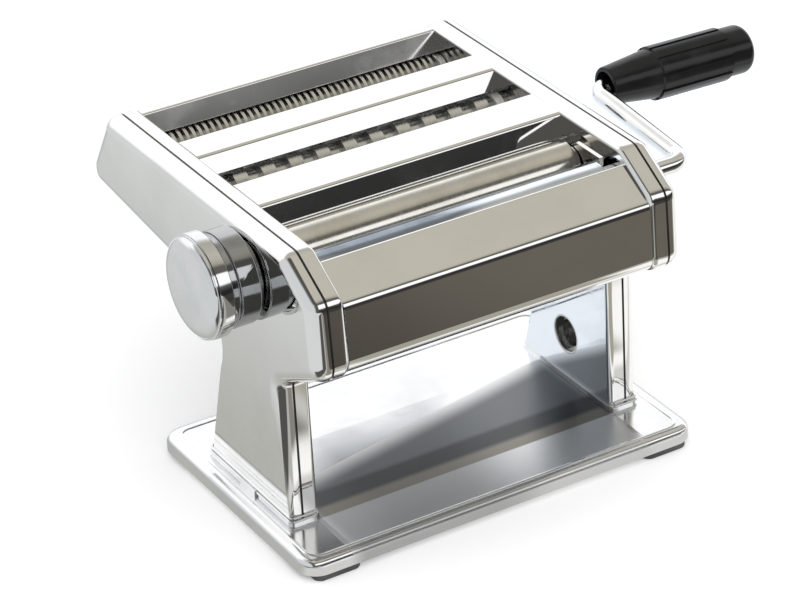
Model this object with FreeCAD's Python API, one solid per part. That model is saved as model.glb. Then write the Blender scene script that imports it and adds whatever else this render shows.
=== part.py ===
import FreeCAD, Part
import math
import os

# A hand-cranked pasta machine, standing on its tray with the crank on the right.
# Millimetres. X runs from the knob to the crank, Y from the front to the back, Z up.
# The origin is on the table, under the middle of the base tray.

# The room between the cheeks, which all lengths along X follow
INNER_WIDTH = 150.0

# Base tray and feet
BASE_OVERHANG = 24.5
BASE_WIDTH = 130.0
BASE_CORNER_R = 10.0
BASE_EDGE_R = 3.0
BASE_SHEET = 1.2
TRAY_BOTTOM_Z = 3.0
TRAY_TOP_Z = 9.4
LEG_SEAT_HEIGHT = 1.4
LEG_SEAT_MARGIN = 0.8
LEG_SEAT_CORNER_R = 3.0
LEG_TAB_LENGTH = 12.5
LEG_TAB_HEIGHT = 2.6
LEG_TAB_THICKNESS = 1.0
FOOT_LENGTH = 22.5
FOOT_WIDTH = 24.0
FOOT_END_INSET = 4.5
FOOT_SIDE_INSET = 0.3
FOOT_CORNER_R = 4.0
FOOT_EDGE_R = 0.8
FOOT_PLUG_INSET = 3.0

# Cheeks, seen from the side
CHEEK_TOP_Z = 142.5
FRONT_TOP_Y = -39.0
KNEE_Y = -62.0
KNEE_BELOW_TOP = 14.0
CHIN_Y = -65.5
CHIN_BELOW_TOP = 47.5
LEG_FRONT_TOP_Y = -30.5
LEG_FRONT_TOP_BELOW_TOP = 65.0
LEG_FRONT_Y = -33.5
LEG_REAR_Y = 36.3
LEG_REAR_TOP_Y = 15.8
LEG_REAR_TOP_BELOW_TOP = 50.9
TAIL_LOW_Y = 129.0
TAIL_LOW_BELOW_TOP = 38.4
TAIL_Y = 131.5
TAIL_BELOW_TOP = 29.0
REAR_TOP_Y = 114.5
KNEE_R = 8.0
CHIN_R = 9.0
LEG_FRONT_R = 5.0
LEG_REAR_R = 22.0
TAIL_LOW_R = 7.0
TAIL_R = 9.5

# Cheeks, across their thickness
PLATE_SHEET = 1.2
PLATE_DEPTH = 7.5
PLATE_EDGE_R = 2.5
SEAM_WIDTH = 1.1
SEAM_INSET = 0.5
SEAM_STRIP_WIDTH = 3.0
COVER_SHEET = 0.8
COVER_DEPTH = 7.1
COVER_EDGE_R = 6.6
LEG_CREASE_BELOW_TOP = 75.5
LEG_FLARE = 2.2
FOOT_TONGUE_DEPTH = 10.0
FOOT_TONGUE_MARGIN = 5.0

# Front cover, top bars and rear cover
PANEL_SHEET = 0.8
COVER_INSET = 1.0
CHIN_WRAP = 14.0
LIP_Y = -42.3
LIP_BELOW_TOP = 5.3
LIP_R = 1.7
LIP_DROP = 5.0
LIP_LEAN = 2.2
COVER_KNEE_Y = -61.5
COVER_KNEE_BELOW_TOP = 17.3
COVER_KNEE_R = 2.0
BAR_BELOW_TOP = 1.1
BAR_FLANGE = 7.0
BAR_REAR_R = 1.2
BAR_FRONT_R = 2.2
FRONT_BAR_FRONT_Y = 5.0
FRONT_BAR_REAR_Y = 28.0
FRONT_GUIDE_Y = 1.5
FRONT_GUIDE_BELOW_TOP = 10.8
REAR_BAR_FRONT_Y = 58.2
REAR_BAR_REAR_Y = 75.7
REAR_GUIDE_Y = 53.5
REAR_GUIDE_BELOW_TOP = 9.1
REAR_PANEL_LOW_Y = 103.6
REAR_PANEL_LOW_BELOW_TOP = 10.3
REAR_PANEL_TOP_Y = 107.6
REAR_WRAP = 10.0

# Smooth rollers
ROLLER_R = 12.0
ROLLER_END_ROOM = 4.5
ROLLER_Y = -30.5
ROLLER_BELOW_TOP = 21.5
ROLLER_GAP_MIN = 0.3
ROLLER_GAP_MAX = 2.6
KNOB_TRAVEL_DEG = 90.0
KNOB_STEPS = 6

# Shafts, bushes and gears
RUNNING_CLEARANCE = 0.05
JOURNAL_R = 6.0
BUSH_BODY_R = 8.2
BUSH_FLANGE_R = 9.6
BUSH_FLANGE = 1.5
BUSH_INNER_GAP = 0.5
LEFT_SHAFT_END = 4.0
RIGHT_SHAFT_PROUD = 0.2
GEAR_GAP = 0.8
GEAR_WIDTH = 5.5
GEAR_TEETH = 12
GEAR_ROOT_CLEARANCE = 0.25
ROLLER_TOOTH_DEPTH = 3.95
CUTTER_TOOTH_DEPTH = 3.0
TOOTH_TIP_WIDTH = 1.2
TOOTH_ROOT_WIDTH = 2.6
SUPPORT_PLATE_GAP = 1.0
SUPPORT_PLATE = 1.5
SUPPORT_PLATE_R = 6.0

# Adjuster
ADJUSTER_CORE_R = 5.5
SLEEVE_R = 7.0
SLEEVE_LENGTH = 12.0
HOLLOW_JOURNAL_R = 8.8
KNOB_JOURNAL_R = 6.5
KNOB_BUSH_R = 9.0
KNOB_BUSH_FLANGE_R = 11.5
FAR_JOURNAL_R = 4.0
FAR_JOURNAL_LENGTH = 4.0
JOURNAL_HOLE_GAP = 0.5

# Cutters
CUTTER_DISC_R = 10.5
CUTTER_CORE_R = 7.6
CUTTER_MESH = 1.2
CUTTER_BELOW_TOP = 21.7
CUTTER_END_ROOM = 2.5
WIDE_FRONT_Y = 38.2
WIDE_CUT = 6.5
WIDE_PITCH = 13.6
FINE_FRONT_Y = 86.2
FINE_CUT = 1.5
FINE_PITCH = 3.25
COMB_SHEET = 0.8
COMB_GAP = 1.0
COMB_FINGER_TOP = 2.0
COMB_FINGER_LOW = 6.6
COMB_LOW = 15.0
WIDE_FINGER_GAP = 0.8
FINE_FINGER_GAP = 0.35

# Scrapers and roller side guides
SCRAPER_SHEET = 0.8
SCRAPER_GAP = 0.45
SCRAPER_LENGTH = 15.0
SCRAPER_ANGLE_DEG = 63.0
SCRAPER_SLOPE_DEG = 44.0
GUIDE_THICKNESS = 1.0
GUIDE_BELOW_TOP = 9.9
GUIDE_LOW_BELOW_TOP = 36.5
GUIDE_FRONT_Y = -26.0
GUIDE_REAR_Y = 1.0
GUIDE_REAR_LOW_Y = 0.0

# Tie rods
TIE_ROD_R = 4.0
TIE_THREAD_R = 3.0
TIE_SPACER_R = 5.0
TIE_NUT_FLATS = 9.0
TIE_NUT_HEIGHT = 2.4
TIE_THREAD_PROUD = 0.4
CHIN_TIE_Y = -50.0
CHIN_TIE_BELOW_TOP = 37.5
FRONT_TIE_Y = 16.5
FRONT_TIE_BELOW_TOP = 16.5
MIDDLE_TIE_Y = 72.1
MIDDLE_TIE_BELOW_TOP = 12.5
TAIL_TIE_Y = 121.0
TAIL_TIE_BELOW_TOP = 30.5

# Base screws
SCREW_R = 2.0
SCREW_HEAD_R = 3.8
SCREW_HEAD_HEIGHT = 2.4
SCREW_LENGTH = 6.4
SCREW_NUT_FLATS = 7.0
SCREW_NUT_HEIGHT = 3.2
SCREW_HOLE_GAP = 0.15
SCREW_X_INSET = 5.8
SCREW_FRONT_Y = -22.0
SCREW_REAR_Y = 27.0

# Clamp socket in the right leg
CLAMP_Y = 1.5
CLAMP_Z = 31.9
CLAMP_BORE_R = 6.5
CLAMP_MOUTH_R = 8.2
CLAMP_OUTER_R = 9.35
CLAMP_MOUTH_DEPTH = 3.0
CLAMP_BORE_LENGTH = 8.0
CLAMP_END_WALL = 1.5
CLAMP_EDGE_R = 0.6

# Thickness knob
INDEX_PLATE = 1.2
INDEX_PLATE_R = 16.5
INDEX_PIN_R = 1.3
INDEX_HOLE_R = 1.6
INDEX_CIRCLE_R = 13.5
INDEX_LIFT = 0.3
INDEX_SEATED_DEPTH = 1.1
INDEX_PIN_LENGTH = 5.8
KNOB_SHAFT_R = 5.0
KNOB_FLAT = 3.8
KNOB_WEB_GAP = 0.2
KNOB_SKIRT_GAP = 0.5
KNOB_SKIRT_SIDE_GAP = 1.0
KNOB_FLANGE_R = 21.1
KNOB_FLANGE_WIDTH = 9.4
KNOB_WAIST_R = 19.8
KNOB_WAIST_WIDTH = 4.0
KNOB_CAP_R = 22.9
KNOB_CAP_WIDTH = 9.0
KNOB_CAP_EDGE_R = 1.0
KNOB_DOME = 1.0
KNOB_WEB = 5.5
KNOB_CAVITY_R = 11.0
KNOB_CAP_WALL = 1.5
KNOB_EDGE_R = 0.8
SPRING_R = 7.6
SPRING_WIRE_R = 0.5
SPRING_TURNS = 3.0
NUT_INSET = 0.5
NUT_FLANGE_R = 9.5
NUT_FLANGE = 1.2
NUT_FLATS = 9.0
NUT_HEIGHT = 3.4
STUD_R = 3.0
STUD_PROUD = 1.0

# Crank and grip
CRANK_R = 4.0
CRANK_CLEARANCE = 0.1
CRANK_END_GAP = 1.0
CRANK_INSERT = 22.0
CRANK_ARM_X = 115.9
CRANK_ARM_LENGTH = 69.9
CRANK_LIFT_DEG = 5.0
CRANK_BEND_R = 8.0
GRIP_DROOP_DEG = 1.4
GRIP_START = 6.5
GRIP_LENGTH = 77.0
GRIP_MOUTH_R = 8.7
GRIP_WALL = 1.9
GRIP_MOUTH_DEPTH = 14.0
GRIP_TAPER = 24.0
GRIP_TAPER_R = 11.5
GRIP_RIB_R = 12.5
GRIP_RIB_CHAMFER = 0.6
GRIP_PLAIN_R = 11.4
GRIP_RIB_END = 63.5
GRIP_END_R = 4.0
GRIP_RIBS = 10
GRIP_GROOVE_WIDTH = 1.8
GRIP_ROD_DEPTH = 66.0
WASHER_R = 6.4
WASHER_THICKNESS = 1.0
COLLAR_R = 7.5
COLLAR_LENGTH = 4.4
COLLAR_SLOT = 3.2
COLLAR_SLOT_DEPTH = 3.3
CROSS_PIN_R = 1.5
CROSS_PIN_LENGTH = 13.0
CRANK_HOLE_R = 8.5

# A bend reaches at most this share of the shorter of its two runs
LONGEST_REACH = 0.49

# How far a cutting tool runs past the face that it opens
OVERRUN = 1.0

# Places that follow from the sizes above
PLATE_X = INNER_WIDTH / 2
BASE_END_X = PLATE_X + BASE_OVERHANG
SHEET_X = PLATE_X + PLATE_SHEET
SEAM_X = PLATE_X + PLATE_DEPTH
COVER_X = SEAM_X + SEAM_WIDTH
OUTER_X = COVER_X + COVER_DEPTH
ROLLER_END_X = PLATE_X - ROLLER_END_ROOM
CUTTER_END_X = PLATE_X - CUTTER_END_ROOM
BUSH_OUTER_X = SHEET_X + BUSH_FLANGE
GEAR_X = BUSH_OUTER_X + GEAR_GAP
GEAR_END_X = GEAR_X + GEAR_WIDTH
SUPPORT_X = GEAR_END_X + SUPPORT_PLATE_GAP
SUPPORT_END_X = SUPPORT_X + SUPPORT_PLATE
SHAFT_END_X = GEAR_END_X + RIGHT_SHAFT_PROUD
COLLAR_END_X = SHAFT_END_X + COLLAR_LENGTH
CRANK_TIP_X = COLLAR_END_X - CRANK_INSERT
LEG_BASE_Z = TRAY_TOP_Z + LEG_SEAT_HEIGHT
TRAY_UNDER_Z = TRAY_TOP_Z - BASE_SHEET
SEAT_UNDER_Z = LEG_BASE_Z - BASE_SHEET

# Every height in the head is measured down from the cheeks' top, so the head moves as one
KNEE_Z = CHEEK_TOP_Z - KNEE_BELOW_TOP
CHIN_Z = CHEEK_TOP_Z - CHIN_BELOW_TOP
LEG_FRONT_TOP_Z = CHEEK_TOP_Z - LEG_FRONT_TOP_BELOW_TOP
LEG_REAR_TOP_Z = CHEEK_TOP_Z - LEG_REAR_TOP_BELOW_TOP
TAIL_LOW_Z = CHEEK_TOP_Z - TAIL_LOW_BELOW_TOP
TAIL_Z = CHEEK_TOP_Z - TAIL_BELOW_TOP
LEG_CREASE_Z = CHEEK_TOP_Z - LEG_CREASE_BELOW_TOP
LIP_Z = CHEEK_TOP_Z - LIP_BELOW_TOP
COVER_KNEE_Z = CHEEK_TOP_Z - COVER_KNEE_BELOW_TOP
BAR_TOP_Z = CHEEK_TOP_Z - BAR_BELOW_TOP
FRONT_GUIDE_Z = CHEEK_TOP_Z - FRONT_GUIDE_BELOW_TOP
REAR_GUIDE_Z = CHEEK_TOP_Z - REAR_GUIDE_BELOW_TOP
REAR_PANEL_LOW_Z = CHEEK_TOP_Z - REAR_PANEL_LOW_BELOW_TOP
ROLLER_Z = CHEEK_TOP_Z - ROLLER_BELOW_TOP
CUTTER_Z = CHEEK_TOP_Z - CUTTER_BELOW_TOP
GUIDE_TOP_Z = CHEEK_TOP_Z - GUIDE_BELOW_TOP
GUIDE_LOW_Z = CHEEK_TOP_Z - GUIDE_LOW_BELOW_TOP
CHIN_TIE_Z = CHEEK_TOP_Z - CHIN_TIE_BELOW_TOP
FRONT_TIE_Z = CHEEK_TOP_Z - FRONT_TIE_BELOW_TOP
MIDDLE_TIE_Z = CHEEK_TOP_Z - MIDDLE_TIE_BELOW_TOP
TAIL_TIE_Z = CHEEK_TOP_Z - TAIL_TIE_BELOW_TOP

# The eccentric swings evenly to both sides of its highest point, where the rollers are level.
ECCENTRICITY = (ROLLER_GAP_MAX - ROLLER_GAP_MIN) / 2 / math.sin(math.radians(KNOB_TRAVEL_DEG / 2))
ROLLER_GAP_REST = (ROLLER_GAP_MIN + ROLLER_GAP_MAX) / 2
KNOB_Y = ROLLER_Y + 2 * ROLLER_R + ROLLER_GAP_REST
KNOB_Z = ROLLER_Z - ECCENTRICITY
MOVING_Z = ROLLER_Z

CUTTER_SPACING = 2 * CUTTER_DISC_R - CUTTER_MESH
WIDE_REAR_Y = WIDE_FRONT_Y + CUTTER_SPACING
FINE_REAR_Y = FINE_FRONT_Y + CUTTER_SPACING
INDEX_FACE_X = OUTER_X + INDEX_PLATE
KNOB_PUSH = INDEX_LIFT + INDEX_SEATED_DEPTH
KNOB_SKIRT_X = OUTER_X + KNOB_SKIRT_GAP + KNOB_PUSH
KNOB_BASE_X = INDEX_FACE_X + KNOB_WEB_GAP + KNOB_PUSH
KNOB_WAIST_X = KNOB_SKIRT_X + KNOB_FLANGE_WIDTH
KNOB_CAP_X = KNOB_WAIST_X + KNOB_WAIST_WIDTH
KNOB_RIM_X = KNOB_CAP_X + KNOB_CAP_WIDTH
KNOB_NUT_X = KNOB_CAP_X + NUT_INSET


def vector(x, y, z):
    return FreeCAD.Vector(x, y, z)


def in_side_plane(y, z):
    return vector(0, y, z)


def in_plan(x, y):
    return vector(x, y, 0)


def in_front_plane(x, z):
    return vector(x, 0, z)


def left_normal(start, end):
    """Unit normal to the left of the way from start to end."""
    run = math.hypot(end[0] - start[0], end[1] - start[1])
    return ((start[1] - end[1]) / run, (end[0] - start[0]) / run)


def shifted(corners, distance, closed=True):
    """Corners (a, b, radius) of an outline moved to its left by a distance."""
    count = len(corners)
    moved = []
    for index, corner in enumerate(corners):
        has_before = closed or index > 0
        has_after = closed or index < count - 1
        before = left_normal(corners[index - 1], corner) if has_before else None
        after = left_normal(corner, corners[(index + 1) % count]) if has_after else None
        first = before or after
        second = after or before
        share = distance / (1 + first[0] * second[0] + first[1] * second[1])
        turn = first[0] * second[1] - first[1] * second[0]
        radius = corner[2]
        if radius > 0:
            radius = max(radius - math.copysign(distance, turn), 0)
        across = corner[0] + share * (first[0] + second[0])
        upward = corner[1] + share * (first[1] + second[1])
        moved.append((across, upward, radius))
    return moved


def bend_points(before, corner, after, radius):
    """Start, middle and end of the arc that rounds a corner in space."""
    back = (before - corner).normalize()
    ahead = (after - corner).normalize()
    half = back.getAngle(ahead) / 2
    middle = (back + ahead).normalize()
    shorter_run = min(before.distanceToPoint(corner), after.distanceToPoint(corner))
    reach = min(radius / math.tan(half), shorter_run * LONGEST_REACH)
    radius = reach * math.tan(half)
    centre = corner + middle * (radius / math.sin(half))
    return corner + back * reach, centre - middle * radius, corner + ahead * reach


def rounded_path(points, radii, closed):
    """Wire of straight runs joined by tangent arcs."""
    count = len(points)
    marks = []
    for index, point in enumerate(points):
        at_end = not closed and index in (0, count - 1)
        if at_end or radii[index] <= 0:
            marks.append((point, None, point))
        else:
            after = points[(index + 1) % count]
            marks.append(bend_points(points[index - 1], point, after, radii[index]))
    edges = []
    for index, (start, middle, end) in enumerate(marks):
        if middle is not None:
            edges.append(Part.Arc(start, middle, end).toShape())
        if closed or index < count - 1:
            following = marks[(index + 1) % count][0]
            if end.distanceToPoint(following) > 1e-6:
                edges.append(Part.makeLine(end, following))
    return Part.Wire(edges)


def outline_face(corners, place):
    """Face inside a closed outline of rounded corners."""
    points = [place(a, b) for a, b, _ in corners]
    radii = [radius for _, _, radius in corners]
    return Part.Face(rounded_path(points, radii, True))


def prism_x(corners, x0, x1):
    face = outline_face(corners, in_side_plane)
    face.translate(vector(x0, 0, 0))
    return face.extrude(vector(x1 - x0, 0, 0))


def prism_y(corners, y0, y1):
    face = outline_face(corners, in_front_plane)
    face.translate(vector(0, y0, 0))
    return face.extrude(vector(0, y1 - y0, 0))


def prism_z(corners, z0, z1):
    face = outline_face(corners, in_plan)
    face.translate(vector(0, 0, z0))
    return face.extrude(vector(0, 0, z1 - z0))


def rectangle(a0, a1, b0, b1, radius=0.0):
    return [(a0, b0, radius), (a1, b0, radius), (a1, b1, radius), (a0, b1, radius)]


def sheet_x(path, thickness, x0, x1):
    """Bent sheet: an open path of rounded corners, thickened to its left."""
    other_side = shifted(path, thickness, closed=False)
    return prism_x(path + other_side[::-1], x0, x1)


def cylinder_x(radius, x0, x1, y, z):
    return Part.makeCylinder(radius, x1 - x0, vector(x0, y, z), vector(1, 0, 0))


def ring_x(outer_r, inner_r, x0, x1, y, z):
    return cylinder_x(outer_r, x0, x1, y, z).cut(cylinder_x(inner_r, x0, x1, y, z))


def turned_x(profile, y, z):
    """Solid turned about an axis along X from a closed outline of (x, radius, corner)."""
    face = outline_face(profile, in_front_plane)
    solid = face.revolve(vector(0, 0, 0), vector(1, 0, 0), 360)
    solid.translate(vector(0, y, z))
    return solid


def hexagon_x(flats, x0, x1, y, z):
    corner = flats / math.sqrt(3)
    turns = [math.radians(60 * index) for index in range(6)]
    return prism_x([(y + corner * math.cos(t), z + corner * math.sin(t), 0) for t in turns], x0, x1)


def hexagon_z(flats, x, y, z0, z1):
    corner = flats / math.sqrt(3)
    turns = [math.radians(60 * index + 30) for index in range(6)]
    return prism_z([(x + corner * math.cos(t), y + corner * math.sin(t), 0) for t in turns], z0, z1)


def mirrored(shape):
    """The same shape on the other side of the machine's middle plane."""
    return shape.mirror(vector(0, 0, 0), vector(1, 0, 0))


def both_sides(shape):
    return [shape, mirrored(shape)]


def joined(shapes):
    first, *others = shapes
    return first.fuse(others).removeSplitter() if others else first


def without(shape, tools):
    return shape.cut(list(tools))


def softened(shape, x, radius):
    """The shape with the edges that lie in the plane x rounded, all but the one at the foot."""
    edges = []
    for edge in shape.Edges:
        box = edge.BoundBox
        in_plane = abs(box.XMin - x) < 1e-4 and abs(box.XMax - x) < 1e-4
        at_foot = box.ZMax < shape.BoundBox.ZMin + 1e-4
        if in_plane and not at_foot:
            edges.append(edge)
    return shape.makeFillet(radius, edges)


def save(name, *solids):
    """Write one named piece, which may be several equal separate solids."""
    shape = solids[0] if len(solids) == 1 else Part.makeCompound(list(solids))
    shape.exportStep(f"parts/{name}.step")
    print(f"{name}: {len(shape.Solids)} solids, {shape.Volume:.1f} mm3, valid {shape.isValid()}")


# Places of the shafts, fasteners and their holes

DRIVEN_AXES = [(ROLLER_Y, ROLLER_Z), (WIDE_FRONT_Y, CUTTER_Z), (FINE_FRONT_Y, CUTTER_Z)]
WIDE_AXES = [(WIDE_FRONT_Y, CUTTER_Z), (WIDE_REAR_Y, CUTTER_Z)]
FINE_AXES = [(FINE_FRONT_Y, CUTTER_Z), (FINE_REAR_Y, CUTTER_Z)]
BUSHED_AXES = [(ROLLER_Y, ROLLER_Z)] + WIDE_AXES + FINE_AXES
CHIN_TIE = (CHIN_TIE_Y, CHIN_TIE_Z)
GEAR_CASE_TIES = [(FRONT_TIE_Y, FRONT_TIE_Z), (MIDDLE_TIE_Y, MIDDLE_TIE_Z), (TAIL_TIE_Y, TAIL_TIE_Z)]
TIES = [CHIN_TIE] + GEAR_CASE_TIES
SCREW_X = PLATE_X + SCREW_X_INSET
SCREW_PLACES = [(side * SCREW_X, y) for side in (-1, 1) for y in (SCREW_FRONT_Y, SCREW_REAR_Y)]
MOVING_JOURNAL_HOLE_R = HOLLOW_JOURNAL_R + ECCENTRICITY + JOURNAL_HOLE_GAP


def cheek_outline(inset, foot_z=None):
    """Side outline of the cheeks, moved inwards, with its foot at foot_z where that is given."""
    corners = [
        (LEG_FRONT_Y, LEG_BASE_Z, 0),
        (LEG_REAR_Y, LEG_BASE_Z, 0),
        (LEG_REAR_TOP_Y, LEG_REAR_TOP_Z, LEG_REAR_R),
        (TAIL_LOW_Y, TAIL_LOW_Z, TAIL_LOW_R),
        (TAIL_Y, TAIL_Z, TAIL_R),
        (REAR_TOP_Y, CHEEK_TOP_Z, KNEE_R),
        (FRONT_TOP_Y, CHEEK_TOP_Z, KNEE_R),
        (KNEE_Y, KNEE_Z, KNEE_R),
        (CHIN_Y, CHIN_Z, CHIN_R),
        (LEG_FRONT_TOP_Y, LEG_FRONT_TOP_Z, LEG_FRONT_R),
    ]
    moved = shifted(corners, inset)
    if foot_z is not None:
        moved[0] = at_height(moved[0], moved[9], foot_z)
        moved[1] = at_height(moved[1], moved[2], foot_z)
    return moved


def at_height(low, high, z):
    """Sharp corner at a height on the line through two corners."""
    share = (z - low[1]) / (high[1] - low[1])
    return (low[0] + share * (high[0] - low[0]), z, 0)


# Base tray, feet and screws

def base_tray():
    half_length = BASE_END_X
    half_width = BASE_WIDTH / 2
    plan = rectangle(-half_length, half_length, -half_width, half_width, BASE_CORNER_R)
    outside = prism_z(plan, TRAY_BOTTOM_Z, TRAY_TOP_Z)
    outside = rounded_top(outside, TRAY_TOP_Z, BASE_EDGE_R)
    inside = prism_z(shifted(plan, BASE_SHEET), TRAY_BOTTOM_Z - OVERRUN, TRAY_UNDER_Z)
    inside = rounded_top(inside, TRAY_UNDER_Z, BASE_EDGE_R - BASE_SHEET)
    seat = rectangle(
        PLATE_X - LEG_SEAT_MARGIN,
        OUTER_X - LEG_FLARE + LEG_SEAT_MARGIN,
        LEG_FRONT_Y - LEG_SEAT_MARGIN,
        LEG_REAR_Y + LEG_SEAT_MARGIN,
        LEG_SEAT_CORNER_R,
    )
    seats = both_sides(prism_z(seat, TRAY_TOP_Z, LEG_BASE_Z))
    hollows = both_sides(prism_z(shifted(seat, BASE_SHEET), TRAY_BOTTOM_Z, SEAT_UNDER_Z))
    leg_middle_y = (LEG_FRONT_Y + LEG_REAR_Y) / 2
    tab_x = OUTER_X - LEG_FLARE + LEG_SEAT_MARGIN
    tab_plan = rectangle(
        tab_x - LEG_SEAT_MARGIN / 2,
        tab_x + LEG_TAB_THICKNESS,
        leg_middle_y - LEG_TAB_LENGTH / 2,
        leg_middle_y + LEG_TAB_LENGTH / 2,
    )
    tabs = both_sides(prism_z(tab_plan, TRAY_TOP_Z, TRAY_TOP_Z + LEG_TAB_HEIGHT))
    tray = joined([outside.cut(inside)] + seats + tabs)
    holes = [screw_hole(x, y) for x, y in SCREW_PLACES]
    return without(tray, hollows + holes)


def rounded_top(shape, z, radius):
    edges = [edge for edge in shape.Edges if edge.BoundBox.ZMin > z - 1e-4]
    return shape.makeFillet(radius, edges)


def screw_hole(x, y):
    depth = LEG_BASE_Z + PLATE_SHEET - TRAY_BOTTOM_Z
    return Part.makeCylinder(SCREW_R + SCREW_HOLE_GAP, depth, vector(x, y, TRAY_BOTTOM_Z))


def rubber_feet():
    """Foot blocks under the tray's corners, each with a plug up to the tray's underside."""
    outer_x = BASE_END_X - FOOT_END_INSET
    outer_y = BASE_WIDTH / 2 - FOOT_SIDE_INSET
    feet = []
    for side_x in (-1, 1):
        for side_y in (-1, 1):
            xs = sorted((side_x * (outer_x - FOOT_LENGTH), side_x * outer_x))
            ys = sorted((side_y * (outer_y - FOOT_WIDTH), side_y * outer_y))
            plan = rectangle(xs[0], xs[1], ys[0], ys[1], FOOT_CORNER_R)
            block = prism_z(plan, 0, TRAY_BOTTOM_Z)
            low = [edge for edge in block.Edges if edge.BoundBox.ZMax < 1e-4]
            block = block.makeFillet(FOOT_EDGE_R, low)
            plug = prism_z(shifted(plan, FOOT_PLUG_INSET), TRAY_BOTTOM_Z, TRAY_UNDER_Z)
            feet.append(joined([block, plug]))
    return feet


def base_screws():
    screws = []
    for x, y in SCREW_PLACES:
        head_low = vector(x, y, SEAT_UNDER_Z - SCREW_HEAD_HEIGHT)
        head = Part.makeCylinder(SCREW_HEAD_R, SCREW_HEAD_HEIGHT, head_low)
        shank = Part.makeCylinder(SCREW_R, SCREW_LENGTH, vector(x, y, SEAT_UNDER_Z))
        screws.append(joined([head, shank]))
    return screws


def base_nuts():
    low = LEG_BASE_Z + PLATE_SHEET
    nuts = []
    for x, y in SCREW_PLACES:
        nut = hexagon_z(SCREW_NUT_FLATS, x, y, low, low + SCREW_NUT_HEIGHT)
        bore = Part.makeCylinder(SCREW_R + RUNNING_CLEARANCE, SCREW_NUT_HEIGHT, vector(x, y, low))
        nuts.append(nut.cut(bore))
    return nuts


# Cheek plates, covers and seam strips

def cheek_plate(bores):
    """Pressed plate on the right side: flat web, rolled edge and rim, with round bores."""
    outside = prism_x(cheek_outline(0), PLATE_X, SEAM_X)
    outside = softened(outside, PLATE_X, PLATE_EDGE_R)
    inside = prism_x(cheek_outline(PLATE_SHEET), SHEET_X, SEAM_X + OVERRUN)
    inside = softened(inside, SHEET_X, PLATE_EDGE_R - PLATE_SHEET)
    tongue = Part.makeBox(
        FOOT_TONGUE_DEPTH,
        LEG_REAR_Y - LEG_FRONT_Y - 2 * FOOT_TONGUE_MARGIN,
        PLATE_SHEET,
        vector(PLATE_X, LEG_FRONT_Y + FOOT_TONGUE_MARGIN, LEG_BASE_Z),
    )
    tools = [cylinder_x(radius, PLATE_X, SHEET_X, y, z) for radius, y, z in bores]
    tools += [screw_hole(x, y) for x, y in SCREW_PLACES if x > 0]
    return without(joined([outside.cut(inside), tongue]), tools)


def leg_wedge(depth):
    """What the leg's slope takes off the outer face, below its crease."""
    low = LEG_BASE_Z - OVERRUN
    slope = LEG_FLARE / (LEG_CREASE_Z - LEG_BASE_Z)
    face_x = OUTER_X - depth
    low_x = face_x - slope * (LEG_CREASE_Z - low)
    far_x = face_x + COVER_DEPTH
    corners = [(low_x, low, 0), (far_x, low, 0), (far_x, LEG_CREASE_Z, 0), (face_x, LEG_CREASE_Z, 0)]
    return prism_y(corners, CHIN_Y, TAIL_Y)


def cheek_cover(bores):
    """Deep-drawn cover on the right side, open towards the seam."""
    outside = prism_x(cheek_outline(0), COVER_X, OUTER_X)
    outside = softened(outside, OUTER_X, COVER_EDGE_R).cut(leg_wedge(0))
    hollow = cheek_outline(COVER_SHEET, LEG_BASE_Z - OVERRUN)
    inside = prism_x(hollow, COVER_X - OVERRUN, OUTER_X - COVER_SHEET)
    inside = softened(inside, OUTER_X - COVER_SHEET, COVER_EDGE_R - COVER_SHEET)
    tools = [inside.cut(leg_wedge(COVER_SHEET))]
    for radius, y, z in bores:
        tools.append(cylinder_x(radius, OUTER_X - COVER_SHEET, OUTER_X, y, z))
    return without(outside, tools)


def seam_strip():
    """Black strip recessed between the plate's rim and the cover's rim."""
    outside = prism_x(cheek_outline(SEAM_INSET, LEG_BASE_Z), SEAM_X, COVER_X)
    opening = cheek_outline(SEAM_INSET + SEAM_STRIP_WIDTH, LEG_BASE_Z - OVERRUN)
    return outside.cut(prism_x(opening, SEAM_X, COVER_X))


def right_bores():
    bores = [(BUSH_BODY_R + RUNNING_CLEARANCE, y, z) for y, z in BUSHED_AXES]
    bores += [(TIE_THREAD_R + RUNNING_CLEARANCE, y, z) for y, z in TIES]
    bores.append((MOVING_JOURNAL_HOLE_R, KNOB_Y, KNOB_Z))
    bores.append((CLAMP_OUTER_R + RUNNING_CLEARANCE, CLAMP_Y, CLAMP_Z))
    return bores


def left_bores():
    bores = [(BUSH_BODY_R + RUNNING_CLEARANCE, y, z) for y, z in BUSHED_AXES]
    bores += [(TIE_THREAD_R + RUNNING_CLEARANCE, y, z) for y, z in TIES]
    bores.append((KNOB_BUSH_R + RUNNING_CLEARANCE, KNOB_Y, KNOB_Z))
    return bores


def clamp_socket():
    """Stepped bushing that takes the table clamp's arm."""
    mouth_end = PLATE_X + CLAMP_MOUTH_DEPTH
    bore_end = mouth_end + CLAMP_BORE_LENGTH
    profile = [
        (PLATE_X, CLAMP_MOUTH_R, CLAMP_EDGE_R),
        (PLATE_X, CLAMP_OUTER_R, 0),
        (bore_end + CLAMP_END_WALL, CLAMP_OUTER_R, 0),
        (bore_end + CLAMP_END_WALL, 0, 0),
        (bore_end, 0, 0),
        (bore_end, CLAMP_BORE_R, 0),
        (mouth_end, CLAMP_BORE_R, 0),
        (mouth_end, CLAMP_MOUTH_R, 0),
    ]
    return turned_x(profile, CLAMP_Y, CLAMP_Z)


# Covers and bars between the cheeks

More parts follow.
